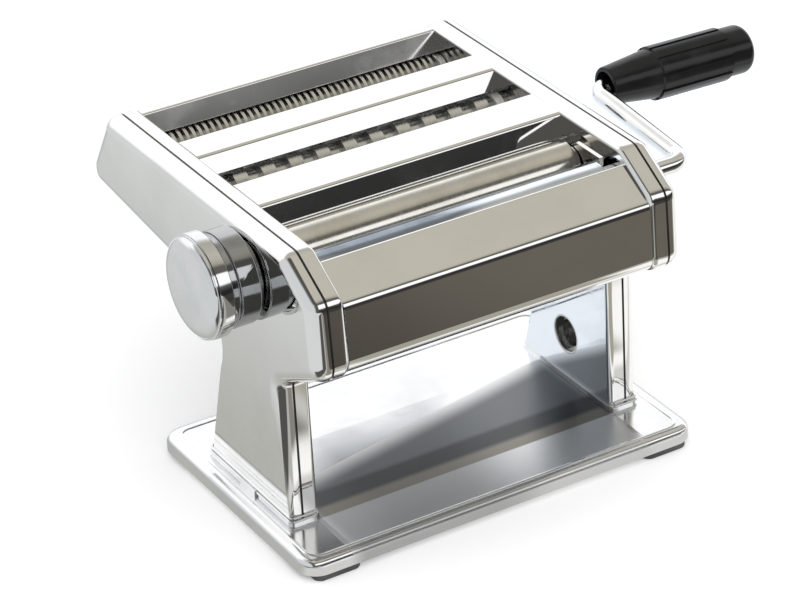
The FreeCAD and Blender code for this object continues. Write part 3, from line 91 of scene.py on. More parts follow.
class NodeSheet:
    """A node tree with short calls for its nodes and links."""

    def __init__(self, tree: bpy.types.NodeTree) -> None:
        """Keeps the tree.

        Args:
            tree: the material's, world's or group's node tree.
        """
        self.tree = tree

    def add(self, kind: str, **settings: object) -> bpy.types.Node:
        """Adds a node.

        Args:
            kind: the node's type name, without the ShaderNode prefix that most have.
            settings: the node's own properties.

        Returns:
            The new node.
        """
        node = self.tree.nodes.new(kind if kind.startswith("Node") else "ShaderNode" + kind)
        for name, value in settings.items():
            setattr(node, name, value)
        return node

    def feed(self, target: Socket, value: Socket | Colour | float) -> None:
        """Sets an input to a fixed number or colour, or links it to a changing one.

        Args:
            target: the input.
            value: what it takes.
        """
        if isinstance(value, Socket):
            self.tree.links.new(value, target)
        elif isinstance(value, tuple):
            target.default_value = (*value, 1.0)
        else:
            target.default_value = value

    def place(self) -> Socket:
        """Gives the place on the piece, in metres."""
        return self.add("TexCoord").outputs["Object"]

    def split(self, place: Socket) -> tuple[Socket, Socket, Socket]:
        """Takes a place or a direction apart.

        Args:
            place: the place or direction.

        Returns:
            Its X, Y and Z.
        """
        parts = self.add("SeparateXYZ")
        self.feed(parts.inputs["Vector"], place)
        return parts.outputs["X"], parts.outputs["Y"], parts.outputs["Z"]

    def stretched(self, place: Socket, scale: tuple[float, float, float]) -> Socket:
        """Scales a place unevenly.

        Args:
            place: the place.
            scale: the factor along each axis.

        Returns:
            The stretched place.
        """
        node = self.add("Mapping")
        node.inputs["Scale"].default_value = scale
        self.feed(node.inputs["Vector"], place)
        return node.outputs["Vector"]

    def noise(self, place: Socket, scale: Socket | float, detail: float = 2.0,
              roughness: float = 0.5) -> Socket:
        """Adds a noise texture.

        Args:
            place: the place that it reads.
            scale: its waves per metre.
            detail: how many finer octaves it has.
            roughness: how strong they are.

        Returns:
            The noise.
        """
        node = self.add("TexNoise")
        numbers = {"Vector": place, "Scale": scale, "Detail": detail, "Roughness": roughness}
        for label, value in numbers.items():
            self.feed(node.inputs[label], value)
        return node.outputs["Fac"]

    def between(self, value: Socket, low: float, high: float, start: float = 0.3,
                end: float = 0.7) -> Socket:
        """Maps a mask smoothly to a range of values.

        Args:
            value: the mask.
            low: the result where the mask is at start.
            high: the result where the mask is at end.
            start: the mask's lower bound, by default that of most noise.
            end: the mask's upper bound, by default that of most noise.

        Returns:
            The mapped value.
        """
        node = self.add("MapRange", interpolation_type="SMOOTHSTEP")
        numbers = {"Value": value, "From Min": start, "From Max": end, "To Min": low, "To Max": high}
        for label, number in numbers.items():
            self.feed(node.inputs[label], number)
        return node.outputs["Result"]

    def rising(self, value: Socket, start: float, end: float) -> Socket:
        """Makes a mask that rises from 0 at start to 1 at end."""
        return self.between(value, 0.0, 1.0, start, end)

    def falling(self, value: Socket, start: float, end: float) -> Socket:
        """Makes a mask that falls from 1 at start to 0 at end."""
        return self.between(value, 1.0, 0.0, start, end)

    def reckon(self, operation: str, *values: Socket | float) -> Socket:
        """Joins values by arithmetic.

        Args:
            operation: the Math node's operation.
            values: its inputs, each changing or fixed.

        Returns:
            The result.
        """
        node = self.add("Math", operation=operation)
        for target, value in zip(node.inputs, values):
            self.feed(target, value)
        return node.outputs[0]

    def product(self, first: Socket, *others: Socket | float) -> Socket:
        """Multiplies values.

        Args:
            first: one value.
            others: the values that it is multiplied by.

        Returns:
            The product.
        """
        for other in others:
            first = self.reckon("MULTIPLY", first, other)
        return first

    def beyond(self, value: Socket, bound: Socket | float, reach: float | None = None) -> Socket:
        """Gives how far a value lies beyond a bound.

        Args:
            value: the value.
            bound: the bound, up to which the result is 0.
            reach: the most that the result may be, if anything.

        Returns:
            The distance.
        """
        far = self.reckon("MAXIMUM", self.reckon("SUBTRACT", value, bound), 0.0)
        return far if reach is None else self.reckon("MINIMUM", far, reach)

    def blend(self, mask: Socket, first: Socket | Colour, second: Socket | Colour) -> Socket:
        """Mixes two colours by a mask.

        Args:
            mask: 0 gives the first colour and 1 the second.
            first: one colour, changing or fixed.
            second: the other colour, changing or fixed.

        Returns:
            The mixed colour.
        """
        node = self.add("Mix", data_type="RGBA")
        self.feed(node.inputs["Factor"], mask)
        for target, colour in zip((put for put in node.inputs if put.type == "RGBA"), (first, second)):
            self.feed(target, colour)
        return next(result for result in node.outputs if result.type == "RGBA")

    def choose(self, mask: Socket, first: Socket, second: Socket) -> Socket:
        """Mixes two shaders by a mask.

        Args:
            mask: 0 gives the first shader and 1 the second.
            first: one shader.
            second: the other shader.

        Returns:
            The mixed shader.
        """
        node = self.add("MixShader")
        for target, value in zip(node.inputs, (mask, first, second)):
            self.feed(target, value)
        return node.outputs[0]

    def light(self, kind: str, colour: Socket | Colour, strength: float = 1.0) -> Socket:
        """Adds a shader that gives light.

        Args:
            kind: Emission on a surface or Background in a world.
            colour: its colour, changing or fixed.
            strength: its strength.

        Returns:
            The shader.
        """
        node = self.add(kind)
        self.feed(node.inputs["Color"], colour)
        self.feed(node.inputs["Strength"], strength)
        return node.outputs[0]


# Effects

@dataclass(frozen=True)
class Effect:
    """A shader group that finishes share, which is made the first time it is used."""

    name: str
    number: str
    usual: float
    outputs: tuple[str, ...]

    def placed(self, sheet: NodeSheet, number: float | None = None) -> bpy.types.NodeOutputs:
        """Adds the group to a material.

        Args:
            sheet: the material's nodes.
            number: the number that the group takes, if it isn't the usual one.

        Returns:
            The group's outputs, by name.
        """
        known = bpy.data.node_groups.get(self.name)
        node = sheet.add("Group", node_tree=known if known else self._make())
        if number is not None:
            node.inputs[self.number].default_value = number
        return node.outputs

    def _make(self) -> bpy.types.NodeTree:
        """Makes the group.

        Returns:
            The new group.
        """
        tree = bpy.data.node_groups.new(self.name, "ShaderNodeTree")
        taken = tree.interface.new_socket(self.number, in_out="INPUT", socket_type="NodeSocketFloat")
        taken.default_value = self.usual
        for label in self.outputs:
            tree.interface.new_socket(label, in_out="OUTPUT", socket_type="NodeSocketFloat")
        sheet = NodeSheet(tree)
        inlet = sheet.add("NodeGroupInput")
        outlet = sheet.add("NodeGroupOutput")
        for label, value in zip(self.outputs, self.draw(sheet, inlet.outputs[self.number])):
            sheet.feed(outlet.inputs[label], value)
        return tree

    def draw(self, sheet: NodeSheet, number: Socket) -> tuple[Socket, ...]:
        """Adds the effect's own nodes.

        Args:
            sheet: the group's nodes.
            number: the number that the group takes.

        Returns:
            What each of the group's outputs gives.
        """
        raise NotImplementedError


@dataclass(frozen=True)
class PlainNoise(Effect):
    """An even noise, which serves as a height or as a mask."""

    detail: float = 2.0
    stretch: tuple[float, float, float] | None = None

    def draw(self, sheet: NodeSheet, number: Socket) -> tuple[Socket, ...]:
        """Draws the noise.

        Args:
            sheet: the group's nodes.
            number: the noise's waves per metre.

        Returns:
            The noise.
        """
        place = sheet.place()
        if self.stretch:
            place = sheet.stretched(place, self.stretch)
        return (sheet.noise(place, number, self.detail),)


@dataclass(frozen=True)
class HandlingMarks(Effect):
    """Smudges and hairline scratches that handling leaves, as two masks."""

    smudge_detail: float = 5.0
    smudge_roughness: float = 0.6
    smudge_span: Span = (0.42, 0.68)
    scratches_per_metre: float = 34.0
    scratch_stretch: tuple[float, float, float] = (1.0, 0.22, 0.6)
    scratch_width: float = 0.012

    def draw(self, sheet: NodeSheet, number: Socket) -> tuple[Socket, ...]:
        """Draws the marks.

        Args:
            sheet: the group's nodes.
            number: the smudges per metre.

        Returns:
            The masks of the smudges and of the scratches.
        """
        place = sheet.place()
        patches = sheet.noise(place, number, self.smudge_detail, self.smudge_roughness)
        cells = sheet.add("TexVoronoi", feature="DISTANCE_TO_EDGE")
        sheet.feed(cells.inputs["Vector"], sheet.stretched(place, self.scratch_stretch))
        sheet.feed(cells.inputs["Scale"], self.scratches_per_metre)
        scratches = sheet.falling(cells.outputs["Distance"], 0.0, self.scratch_width)
        return sheet.rising(patches, *self.smudge_span), scratches


@dataclass(frozen=True)
class PressedDish(Effect):
    """The shallow hollow that pressing leaves between the legs of a tray, as a height in metres.

    Behind a level line the sheet rises with the square of the distance. It rises towards the legs too,
    and it falls away past the flat part of the tray's rim.
    """

    back_reach: float = 0.060
    back_curve: float = 0.37
    level_half: float = 0.045
    leg_reach: float = 0.030
    leg_curve: float = 1.6
    rim_x: float = 0.0945
    rim_y: float = 0.0600
    rim_curve: float = 45.0

    def draw(self, sheet: NodeSheet, number: Socket) -> tuple[Socket, ...]:
        """Draws the hollow.

        Args:
            sheet: the group's nodes.
            number: the level line's place along Y.

        Returns:
            The height.
        """
        x, y, _ = sheet.split(sheet.place())
        aside = sheet.reckon("ABSOLUTE", x)
        back = sheet.beyond(y, number, self.back_reach)
        near_leg = sheet.beyond(aside, self.level_half, self.leg_reach)
        end = sheet.beyond(aside, self.rim_x)
        edge = sheet.beyond(sheet.reckon("ABSOLUTE", y), self.rim_y)
        raised = sheet.reckon("ADD", sheet.product(back, back, self.back_curve),
                              sheet.product(near_leg, near_leg, self.leg_curve))
        past_rim = sheet.reckon("ADD", sheet.product(end, end), sheet.product(edge, edge))
        return (sheet.reckon("SUBTRACT", raised, sheet.product(past_rim, self.rim_curve)),)


@dataclass(frozen=True)
class DulledMiddleWithPaintedReflection(Effect):
    """The patch between a tray's legs, as three masks: a duller polish, as use leaves it, with a painted
    dark reflection of the head's underside laid on it.

    Its rear edge runs at a slant. Before its front edge half of it stays on the left, and less on the
    right. A painted dark band and a painted brown line, the mirrored edge of the underside, follow that
    edge.
    """

    slant: float = 0.2
    rear_fade: Span = (-0.006, 0.008)
    front_fade: Span = (-0.0365, -0.0345)
    before_share: Span = (0.50, 0.12)
    before_fade: Span = (-0.010, 0.030)
    end_fade: Span = (0.070, 0.080)
    # Where the painted dark band and the painted brown line lie along Y
    painted_dark_edge: Span = (-0.0300, -0.0190)
    painted_brown_line: Span = (-0.0350, -0.0305)
    front_blur: float = 0.001
    rear_blur: float = 0.004

    def draw(self, sheet: NodeSheet, number: Socket) -> tuple[Socket, ...]:
        """Draws the patch.

        Args:
            sheet: the group's nodes.
            number: the rear edge's place along Y, at the middle.

        Returns:
            The masks of the patch, of its painted dark front edge and of the painted brown line before it.
        """
        x, y, _ = sheet.split(sheet.place())
        level = sheet.reckon("SUBTRACT", y, sheet.product(x, self.slant))
        rear = sheet.falling(sheet.reckon("SUBTRACT", level, number), *self.rear_fade)
        before = sheet.between(x, *self.before_share, *self.before_fade)
        front = sheet.reckon("MAXIMUM", sheet.rising(y, *self.front_fade), before)
        ends = sheet.falling(sheet.reckon("ABSOLUTE", x), *self.end_fade)
        masks = [sheet.product(rear, front, ends)]
        for start, end in (self.painted_dark_edge, self.painted_brown_line):
            masks.append(sheet.product(sheet.rising(y, start - self.front_blur, start),
                                       sheet.falling(y, end, end + self.rear_blur), ends))
        return tuple(masks)


@dataclass(frozen=True)
class InnerFace(Effect):
    """The faces that look at each other between the legs, below a height, as the mask of a painted bluish
    reflection.
    """

    top_fade: Span = (0.095, 0.110)
    depth_fade: Span = (0.0002, 0.0006)

    def draw(self, sheet: NodeSheet, number: Socket) -> tuple[Socket, ...]:
        """Draws the mask.

        Args:
            sheet: the group's nodes.
            number: half the room between the faces.

        Returns:
            The mask.
        """
        x, _, z = sheet.split(sheet.place())
        into = sheet.reckon("SUBTRACT", sheet.reckon("ABSOLUTE", x), number)
        return (sheet.product(sheet.falling(z, *self.top_fade), sheet.falling(into, *self.depth_fade)),)


SHEET_WAVES = PlainNoise("Sheet waves", "Waves per metre", 14.0, ("Height",), detail=0.6)
GROUND_LINES = PlainNoise("Ground lines", "Lines per metre", 2400.0, ("Lines",), detail=3.0,
                          stretch=(1.0, 0.03, 0.03))
MOULDED_GRAIN = PlainNoise("Moulded grain", "Grains per metre", 3200.0, ("Height",))
HANDLING = HandlingMarks("Handling marks", "Smudges per metre", 26.0, ("Smudges", "Scratches"))
TRAY_DISH = PressedDish("Pressed dish", "Level line", -0.039, ("Height",))
# The tray's duller middle, which also carries a painted dark reflection of the head's underside
TRAY_MIDDLE = DulledMiddleWithPaintedReflection("Dulled middle with painted reflection", "Rear edge", 0.002, ("Mask", "Painted dark edge", "Painted brown line"))
LEG_INSIDE = InnerFace("Inner face", "Half room", 0.0750, ("Mask",))


# Finishes

@dataclass(frozen=True)
class Finish:
    """A surface finish, which makes its material the first time it is used."""

    name: str
    slot: Slot
    colour: Colour
    worn: Colour
    smooth: float
    rough: float
    smudges_per_metre: float = 26.0

    def material(self) -> bpy.types.Material:
        """Gives the finish's material.

        Returns:
            The material, made on the first call.
        """
        known = bpy.data.materials.get(self.name)
        return known if known else self._make()

    def _make(self) -> bpy.types.Material:
        """Makes the material with its shader.

        Returns:
            The new material.
        """
        material = bpy.data.materials.new(self.name)
        material.use_nodes = True
        sheet = NodeSheet(material.node_tree)
        material.node_tree.nodes.clear()
        shader = sheet.add("BsdfPrincipled")
        outlet = sheet.add("OutputMaterial")
        sheet.feed(outlet.inputs["Surface"], shader.outputs["BSDF"])
        self.dress(sheet, shader)
        return material

    def dress(self, sheet: NodeSheet, shader: bpy.types.Node) -> None:
        """Adds the finish's own nodes.

        Args:
            sheet: the material's nodes.
            shader: its Principled shader.
        """
        raise NotImplementedError

    @staticmethod
    def coat(sheet: NodeSheet, shader: bpy.types.Node, colour: Socket, rough: Socket,
             normal: Socket) -> None:
        """Links what changes over the surface to the shader.

        Args:
            sheet: the material's nodes.
            shader: its Principled shader.
            colour: the colour.
            rough: the roughness.
            normal: the bent normal.
        """
        for label, value in (("Base Color", colour), ("Roughness", rough), ("Normal", normal)):
            sheet.feed(shader.inputs[label], value)

    @staticmethod
    def bump(sheet: NodeSheet, height: Socket, strength: float, distance: float,
             under: Socket | None = None) -> Socket:
        """Adds a bump.

        Args:
            sheet: the material's nodes.
            height: the height that it reads.
            strength: how much of it shows.
            distance: the height's full depth in metres.
            under: the normal that it adds to.

        Returns:
            The bent normal.
        """
        node = sheet.add("Bump")
        sheet.feed(node.inputs["Strength"], strength)
        sheet.feed(node.inputs["Distance"], distance)
        sheet.feed(node.inputs["Height"], height)
        if under is not None:
            sheet.feed(node.inputs["Normal"], under)
        return node.outputs["Normal"]


@dataclass(frozen=True)
class PolishedSheet(Finish):
    """Bright pressed sheet, with slow waves, smudges and hairline scratches, and on some a painted
    reflection.
    """

    waves_per_metre: float = 14.0
    wave_depth: float = 0.0006
    # The dish bump, and with it the tray's middle: a painted dark reflection with a painted dark edge and
    # brown line, and a duller roughness
    dish_and_painted_reflection: bool = False
    painted_underside_reflection: Colour = (0.20, 0.21, 0.22)
    painted_dark_edge: Colour = (0.11, 0.115, 0.12)
    painted_brown_line: Colour = (0.31, 0.29, 0.26)
    dulled_rough: float = 0.30
    dulled_full: float = 0.12
    # A painted bluish reflection on the faces between the legs, if any
    inside: Colour | None = None

    def dress(self, sheet: NodeSheet, shader: bpy.types.Node) -> None:
        """Adds waves and marks, painted reflections inside and on a tray's middle, and a tray's dish.

        Args:
            sheet: the material's nodes.
            shader: its Principled shader.
        """
        shader.inputs["Metallic"].default_value = 1.0
        marks = HANDLING.placed(sheet, self.smudges_per_metre)
        colour = sheet.blend(marks["Smudges"], self.colour, self.worn)
        smudged = sheet.between(marks["Smudges"], self.smooth, self.rough, 0.0, 1.0)
        scratched = sheet.between(marks["Scratches"], 0.0, (self.smooth + self.rough) / 2, 0.0, 1.0)
        rough = sheet.reckon("MAXIMUM", smudged, scratched)
        waves = SHEET_WAVES.placed(sheet, self.waves_per_metre)
        normal = self.bump(sheet, waves["Height"], 1.0, self.wave_depth)
        if self.inside:
            colour = sheet.blend(LEG_INSIDE.placed(sheet)["Mask"], colour, self.inside)
        if self.dish_and_painted_reflection:
            patch = TRAY_MIDDLE.placed(sheet)
            tones = {"Mask": self.painted_underside_reflection, "Painted dark edge": self.painted_dark_edge, "Painted brown line": self.painted_brown_line}
            for label, tone in tones.items():
                colour = sheet.blend(patch[label], colour, tone)
            dull = sheet.between(patch["Mask"], 0.0, self.dulled_rough, 0.0, self.dulled_full)
            rough = sheet.reckon("MAXIMUM", rough, dull)
            normal = self.bump(sheet, TRAY_DISH.placed(sheet)["Height"], 1.0, 1.0, normal)
        self.coat(sheet, shader, colour, rough, normal)


@dataclass(frozen=True)
class TurnedMetal(Finish):
    """Metal turned or ground round an axis along X, with fine rings, stains and perhaps painted highlight
    streaks.
    """

    smudges_per_metre: float = 40.0
    lines_per_metre: float = 2400.0
    line_strength: float = 0.5
    line_depth: float = 0.00002
    # A painted highlight: pale streaks stretched along X
    painted_highlight_streak: Colour | None = None
    streak_stretch: tuple[float, float, float] = (0.08, 1.0, 1.0)
    streaks_per_metre: float = 90.0
    streak_span: Span = (0.48, 0.60)

    def dress(self, sheet: NodeSheet, shader: bpy.types.Node) -> None:
        """Adds the rings and stains, and the painted highlight streaks if there are any.

        Args:
            sheet: the material's nodes.
            shader: its Principled shader.
        """
        shader.inputs["Metallic"].default_value = 1.0
        marks = HANDLING.placed(sheet, self.smudges_per_metre)
        rings = GROUND_LINES.placed(sheet, self.lines_per_metre)
        colour = sheet.blend(marks["Smudges"], self.colour, self.worn)
        if self.painted_highlight_streak:
            along = sheet.stretched(sheet.place(), self.streak_stretch)
            highlight_streaks = sheet.rising(sheet.noise(along, self.streaks_per_metre, 1.0), *self.streak_span)
            colour = sheet.blend(highlight_streaks, colour, self.painted_highlight_streak)
        rough = sheet.between(rings["Lines"], self.smooth, self.rough)
        self.coat(sheet, shader, colour, rough,
                  self.bump(sheet, rings["Lines"], self.line_strength, self.line_depth))


@dataclass(frozen=True)
class Moulding(Finish):
    """Moulded plastic or rubber, with grain, scuffs and dust."""

    smudges_per_metre: float = 60.0
    grain_strength: float = 0.4
    grain_depth: float = 0.00002
    specular: float = 0.5

    def dress(self, sheet: NodeSheet, shader: bpy.types.Node) -> None:
        """Adds the grain and scuffs.

        Args:
            sheet: the material's nodes.
            shader: its Principled shader.
        """
        shader.inputs["Specular IOR Level"].default_value = self.specular
        marks = HANDLING.placed(sheet, self.smudges_per_metre)
        grain = MOULDED_GRAIN.placed(sheet)
        colour = sheet.blend(marks["Smudges"], self.colour, self.worn)
        rough = sheet.between(marks["Smudges"], self.smooth, self.rough, 0.0, 1.0)
        self.coat(sheet, shader, colour, rough,
                  self.bump(sheet, grain["Height"], self.grain_strength, self.grain_depth))


PANEL_STEEL = PolishedSheet("Polished panel steel", Slot.POLISHED_STEEL, colour=(0.90, 0.895, 0.885),
                            worn=(0.86, 0.855, 0.84), smooth=0.03, rough=0.10)
# The panel steel with a painted bluish reflection on its inner faces between the legs
INNER_STEEL = replace(PANEL_STEEL, name="Polished inner steel with painted reflection", inside=(0.76, 0.81, 0.87))
# Rougher than the panels as dull pressed steel, and darker partly as painted shade inside the head
DULL_AND_SHADED_COMB_STEEL = replace(PANEL_STEEL, name="Pressed comb steel with painted shade", colour=(0.42, 0.42, 0.41),
                     worn=(0.34, 0.34, 0.33), smooth=0.20, rough=0.32)
# The tray's dish is a bump; its middle also gets a painted dark reflection of the head's underside
TRAY_STEEL = PolishedSheet("Polished tray steel", Slot.TRAY_STEEL, colour=(0.88, 0.885, 0.89),
                           worn=(0.83, 0.84, 0.85), smooth=0.15, rough=0.22, wave_depth=0.0005, dish_and_painted_reflection=True)
BEAD_STEEL = PolishedSheet("Rolled bead steel", Slot.TRAY_STEEL, colour=(0.88, 0.885, 0.89),
                           worn=(0.83, 0.84, 0.85), smooth=0.06, rough=0.14, smudges_per_metre=40.0,
                           waves_per_metre=30.0, wave_depth=0.0001)
CRANK_CHROME = PolishedSheet("Crank chrome", Slot.CRANK_CHROME, colour=(0.92, 0.92, 0.92),
                             worn=(0.87, 0.87, 0.87), smooth=0.03, rough=0.10, smudges_per_metre=60.0,
                             waves_per_metre=30.0, wave_depth=0.0001)
KNOB_CHROME = replace(CRANK_CHROME, name="Knob chrome", slot=Slot.KNOB_CHROME, colour=(0.84, 0.84, 0.84),
                      worn=(0.78, 0.79, 0.80))
# The knob's chrome darkened as painted shade
SHADED_KNOB_BODY_CHROME = replace(KNOB_CHROME, name="Knob chrome with painted shade", colour=(0.46, 0.47, 0.48),
                           worn=(0.38, 0.39, 0.41), smooth=0.04, rough=0.12)
ROLLER_STEEL = TurnedMetal("Ground roller steel", Slot.ROLLER_STEEL, colour=(0.80, 0.785, 0.74),
                           worn=(0.70, 0.68, 0.625), smooth=0.08, rough=0.20)
# The roller steel darkened and blued as painted shade, with painted highlight streaks
SHADED_FRONT_ROLLER_STEEL = replace(ROLLER_STEEL, name="Roller steel with painted shade and highlight streaks", colour=(0.30, 0.34, 0.40),
                             worn=(0.20, 0.23, 0.28), rough=0.18, painted_highlight_streak=(0.86, 0.91, 0.98))
CUTTER_METAL = TurnedMetal("Turned cutter metal", Slot.CUTTER_METAL, colour=(0.84, 0.83, 0.81),
                           worn=(0.74, 0.73, 0.70), smooth=0.22, rough=0.36)
GEAR_STEEL = TurnedMetal("Cut gear steel", Slot.GEAR_STEEL, colour=(0.55, 0.55, 0.55),
                         worn=(0.42, 0.41, 0.38), smooth=0.25, rough=0.45)
FASTENER_STEEL = TurnedMetal("Plated fastener steel", Slot.FASTENER_STEEL, colour=(0.62, 0.62, 0.62),
                             worn=(0.50, 0.50, 0.48), smooth=0.20, rough=0.38)
SPRING_STEEL = TurnedMetal("Drawn spring wire", Slot.SPRING_STEEL, colour=(0.45, 0.45, 0.45),
                           worn=(0.36, 0.35, 0.33), smooth=0.25, rough=0.45)
GRIP_PLASTIC = Moulding("Glossy grip plastic", Slot.GRIP_PLASTIC, colour=(0.010, 0.010, 0.011),
                        worn=(0.016, 0.016, 0.017), smooth=0.14, rough=0.26, specular=0.3)
SEAM_PLASTIC = Moulding("Black seam plastic", Slot.SEAM_PLASTIC, colour=(0.012, 0.012, 0.012),
                        worn=(0.02, 0.02, 0.02), smooth=0.25, rough=0.4)
FOOT_RUBBER = Moulding("Dark foot rubber", Slot.FOOT_RUBBER, colour=(0.055, 0.057, 0.062),
                       worn=(0.10, 0.10, 0.10), smooth=0.55, rough=0.8, grain_depth=0.00006, specular=0.3)
BUSH_PLASTIC = Moulding("Pale bush plastic", Slot.BUSH_PLASTIC, colour=(0.78, 0.77, 0.72),
                        worn=(0.68, 0.66, 0.60), smooth=0.35, rough=0.5)
SCRAPER_PLASTIC = Moulding("Pale scraper plastic", Slot.SCRAPER_PLASTIC, colour=(0.76, 0.74, 0.67),
                           worn=(0.66, 0.63, 0.55), smooth=0.35, rough=0.5)


# Modelling

# How near to each other points are joined, in metres: in a new piece and in a solid's copy
WELD_DISTANCE = 1e-6
SOLID_WELD_DISTANCE = 2e-6

# The weighted normals' balance between large faces and small ones
FACE_WEIGHT = 50

# How round a rolled ring is, and from how many degrees its edges stay sharp
RING_CORNER_SEGMENTS = 10
RING_BEAD_RESOLUTION = 3
RING_SMOOTH_ANGLE = 60.0


def only(piece: bpy.types.Object) -> None:
    """Selects one object alone and makes it active."""
    bpy.ops.object.select_all(action="DESELECT")
    piece.select_set(True)
    bpy.context.view_layer.objects.active = piece


def settled(piece: bpy.types.Object, name: str, angle: float) -> bpy.types.Object:
    """Names a new piece, turns its faces outwards and moves its place into its mesh.

    Args:
        piece: the piece, active and in object mode.
        name: its name.
        angle: edges sharper than this many degrees stay sharp.

    Returns:
        The piece.
    """
    piece.name = name
    only(piece)
    bpy.ops.object.mode_set(mode="EDIT")
    bpy.ops.mesh.select_all(action="SELECT")
    bpy.ops.mesh.remove_doubles(threshold=WELD_DISTANCE)
    bpy.ops.mesh.normals_make_consistent(inside=False)
    bpy.ops.object.mode_set(mode="OBJECT")
    bpy.ops.object.transform_apply(location=True, rotation=True, scale=True)
    bpy.ops.object.shade_smooth_by_angle(angle=math.radians(angle))
    return piece


def turned(name: str, centre: Vector, axis: Vector, rings: list[Span], angle: float,
           sides: int) -> bpy.types.Object:
    """Turns a solid round an axis by extruding a disc and setting its width ring by ring.

    Args:
        name: the piece's name.
        centre: a point on the axis, from which the rings are measured.
        axis: the direction in which the rings follow.
        rings: each ring's distance along the axis and its radius.
        angle: edges sharper than this many degrees stay sharp.
        sides: how many sides the rings have.

    Returns:
        The piece.
    """
    way = axis.normalized()
    turn = way.to_track_quat("Z", "Y").to_euler()
    place, radius = rings[0]
    bpy.ops.object.select_all(action="DESELECT")
    bpy.ops.mesh.primitive_circle_add(vertices=sides, radius=radius, fill_type="NGON",
                                      location=centre + way * place, rotation=turn)
    piece = bpy.context.object
    bpy.ops.object.mode_set(mode="EDIT")
    bpy.ops.mesh.select_all(action="SELECT")
    for next_place, next_radius in rings[1:]:
        share = next_radius / radius
        bpy.ops.mesh.extrude_region_move(TRANSFORM_OT_translate={"value": way * (next_place - place)})
        bpy.ops.transform.resize(value=(share, share, share), center_override=centre + way * next_place)
        place, radius = next_place, next_radius
    bpy.ops.object.mode_set(mode="OBJECT")
    return settled(piece, name, angle)


def rolled_ring(name: str, low: Vector, high: Vector, corner: float, bead: float,
                flat: float = 1.0) -> bpy.types.Object:
    """Runs a round bead along the outline of a rectangle with rounded corners.

    Args:
        name: the piece's name.
        low: the rectangle's lowest corner.
        high: its highest corner, at the same height.
        corner: the radius of its corners.
        bead: the bead's radius.
        flat: the bead's height as a share of its width.

    Returns:
        The piece.
    """
    middle = (low + high) / 2
    bpy.ops.object.select_all(action="DESELECT")
    bpy.ops.mesh.primitive_plane_add(size=1.0, location=middle)
    piece = bpy.context.object
    piece.scale = (high.x - low.x, high.y - low.y, 1.0)
    bpy.ops.object.transform_apply(location=False, rotation=False, scale=True)
    bpy.ops.object.mode_set(mode="EDIT")
    bpy.ops.mesh.select_all(action="SELECT")
    bpy.ops.mesh.bevel(offset=corner, segments=RING_CORNER_SEGMENTS, affect="VERTICES")
    bpy.ops.mesh.delete(type="ONLY_FACE")
    bpy.ops.object.mode_set(mode="OBJECT")
    bpy.ops.object.convert(target="CURVE")
    piece = bpy.context.object
    piece.data.bevel_depth = bead
    piece.data.bevel_resolution = RING_BEAD_RESOLUTION
    bpy.ops.object.convert(target="MESH")
    piece = bpy.context.object
    bpy.ops.object.mode_set(mode="EDIT")
    bpy.ops.mesh.select_all(action="SELECT")
    bpy.ops.transform.resize(value=(1.0, 1.0, flat), center_override=middle)
    bpy.ops.object.mode_set(mode="OBJECT")
    return settled(piece, name, RING_SMOOTH_ANGLE)


@dataclass
class SubAssembly:
    """A group of pieces that are made and dressed together."""

    smooth_angle: float = 32.0

    def build(self) -> None:
        """Makes and dresses the pieces."""
        raise NotImplementedError

    def fit(self, piece: bpy.types.Object, body: str, finish: Finish, *nodes: str) -> bpy.types.Object:
        """Dresses a finished piece and puts it on its body.

        Args:
            piece: the finished piece.
            body: the body that it moves with.
            finish: its finish.
            nodes: the CAD nodes that it stands for.

        Returns:
            The piece.
        """
        piece.data.materials.clear()
        piece.data.materials.append(finish.material())
        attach(piece, body)
        if nodes:
            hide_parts(*nodes)
        log.info("%s rides on %s in %s", piece.name, body, finish.name)
        return piece

    def dress_node(self, node: str, finish: Finish) -> None:
        """Gives a CAD node its finish.

        Args:
            node: the node's name.
            finish: its finish.
        """
        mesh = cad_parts[node].data
        mesh.materials.clear()
        mesh.materials.append(finish.material())
        log.info("%s keeps its shape in %s", node, finish.name)

    def smoothed(self, node: str, finish: Finish, body: str = "frame") -> bpy.types.Object:
        """Replaces a CAD node by a copy with its triangles merged and its curves shaded smooth.

        Args:
            node: the node's name.
            finish: the finish of the copy.
            body: the body that it moves with.

        Returns:
            The copy.
        """
        piece = bpy.data.objects.new(node + "_smooth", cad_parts[node].data.copy())
        bpy.context.scene.collection.objects.link(piece)
        only(piece)
        bpy.ops.mesh.customdata_custom_splitnormals_clear()
        bpy.ops.object.mode_set(mode="EDIT")
        bpy.ops.mesh.select_all(action="SELECT")
        bpy.ops.mesh.remove_doubles(threshold=SOLID_WELD_DISTANCE)
        bpy.ops.object.mode_set(mode="OBJECT")
        bpy.ops.object.shade_smooth_by_angle(angle=math.radians(self.smooth_angle))
        even = piece.modifiers.new("Even faces", "WEIGHTED_NORMAL")
        even.keep_sharp = True
        even.weight = FACE_WEIGHT
        bpy.ops.object.modifier_apply(modifier=even.name)
        return self.fit(piece, body, finish, node)


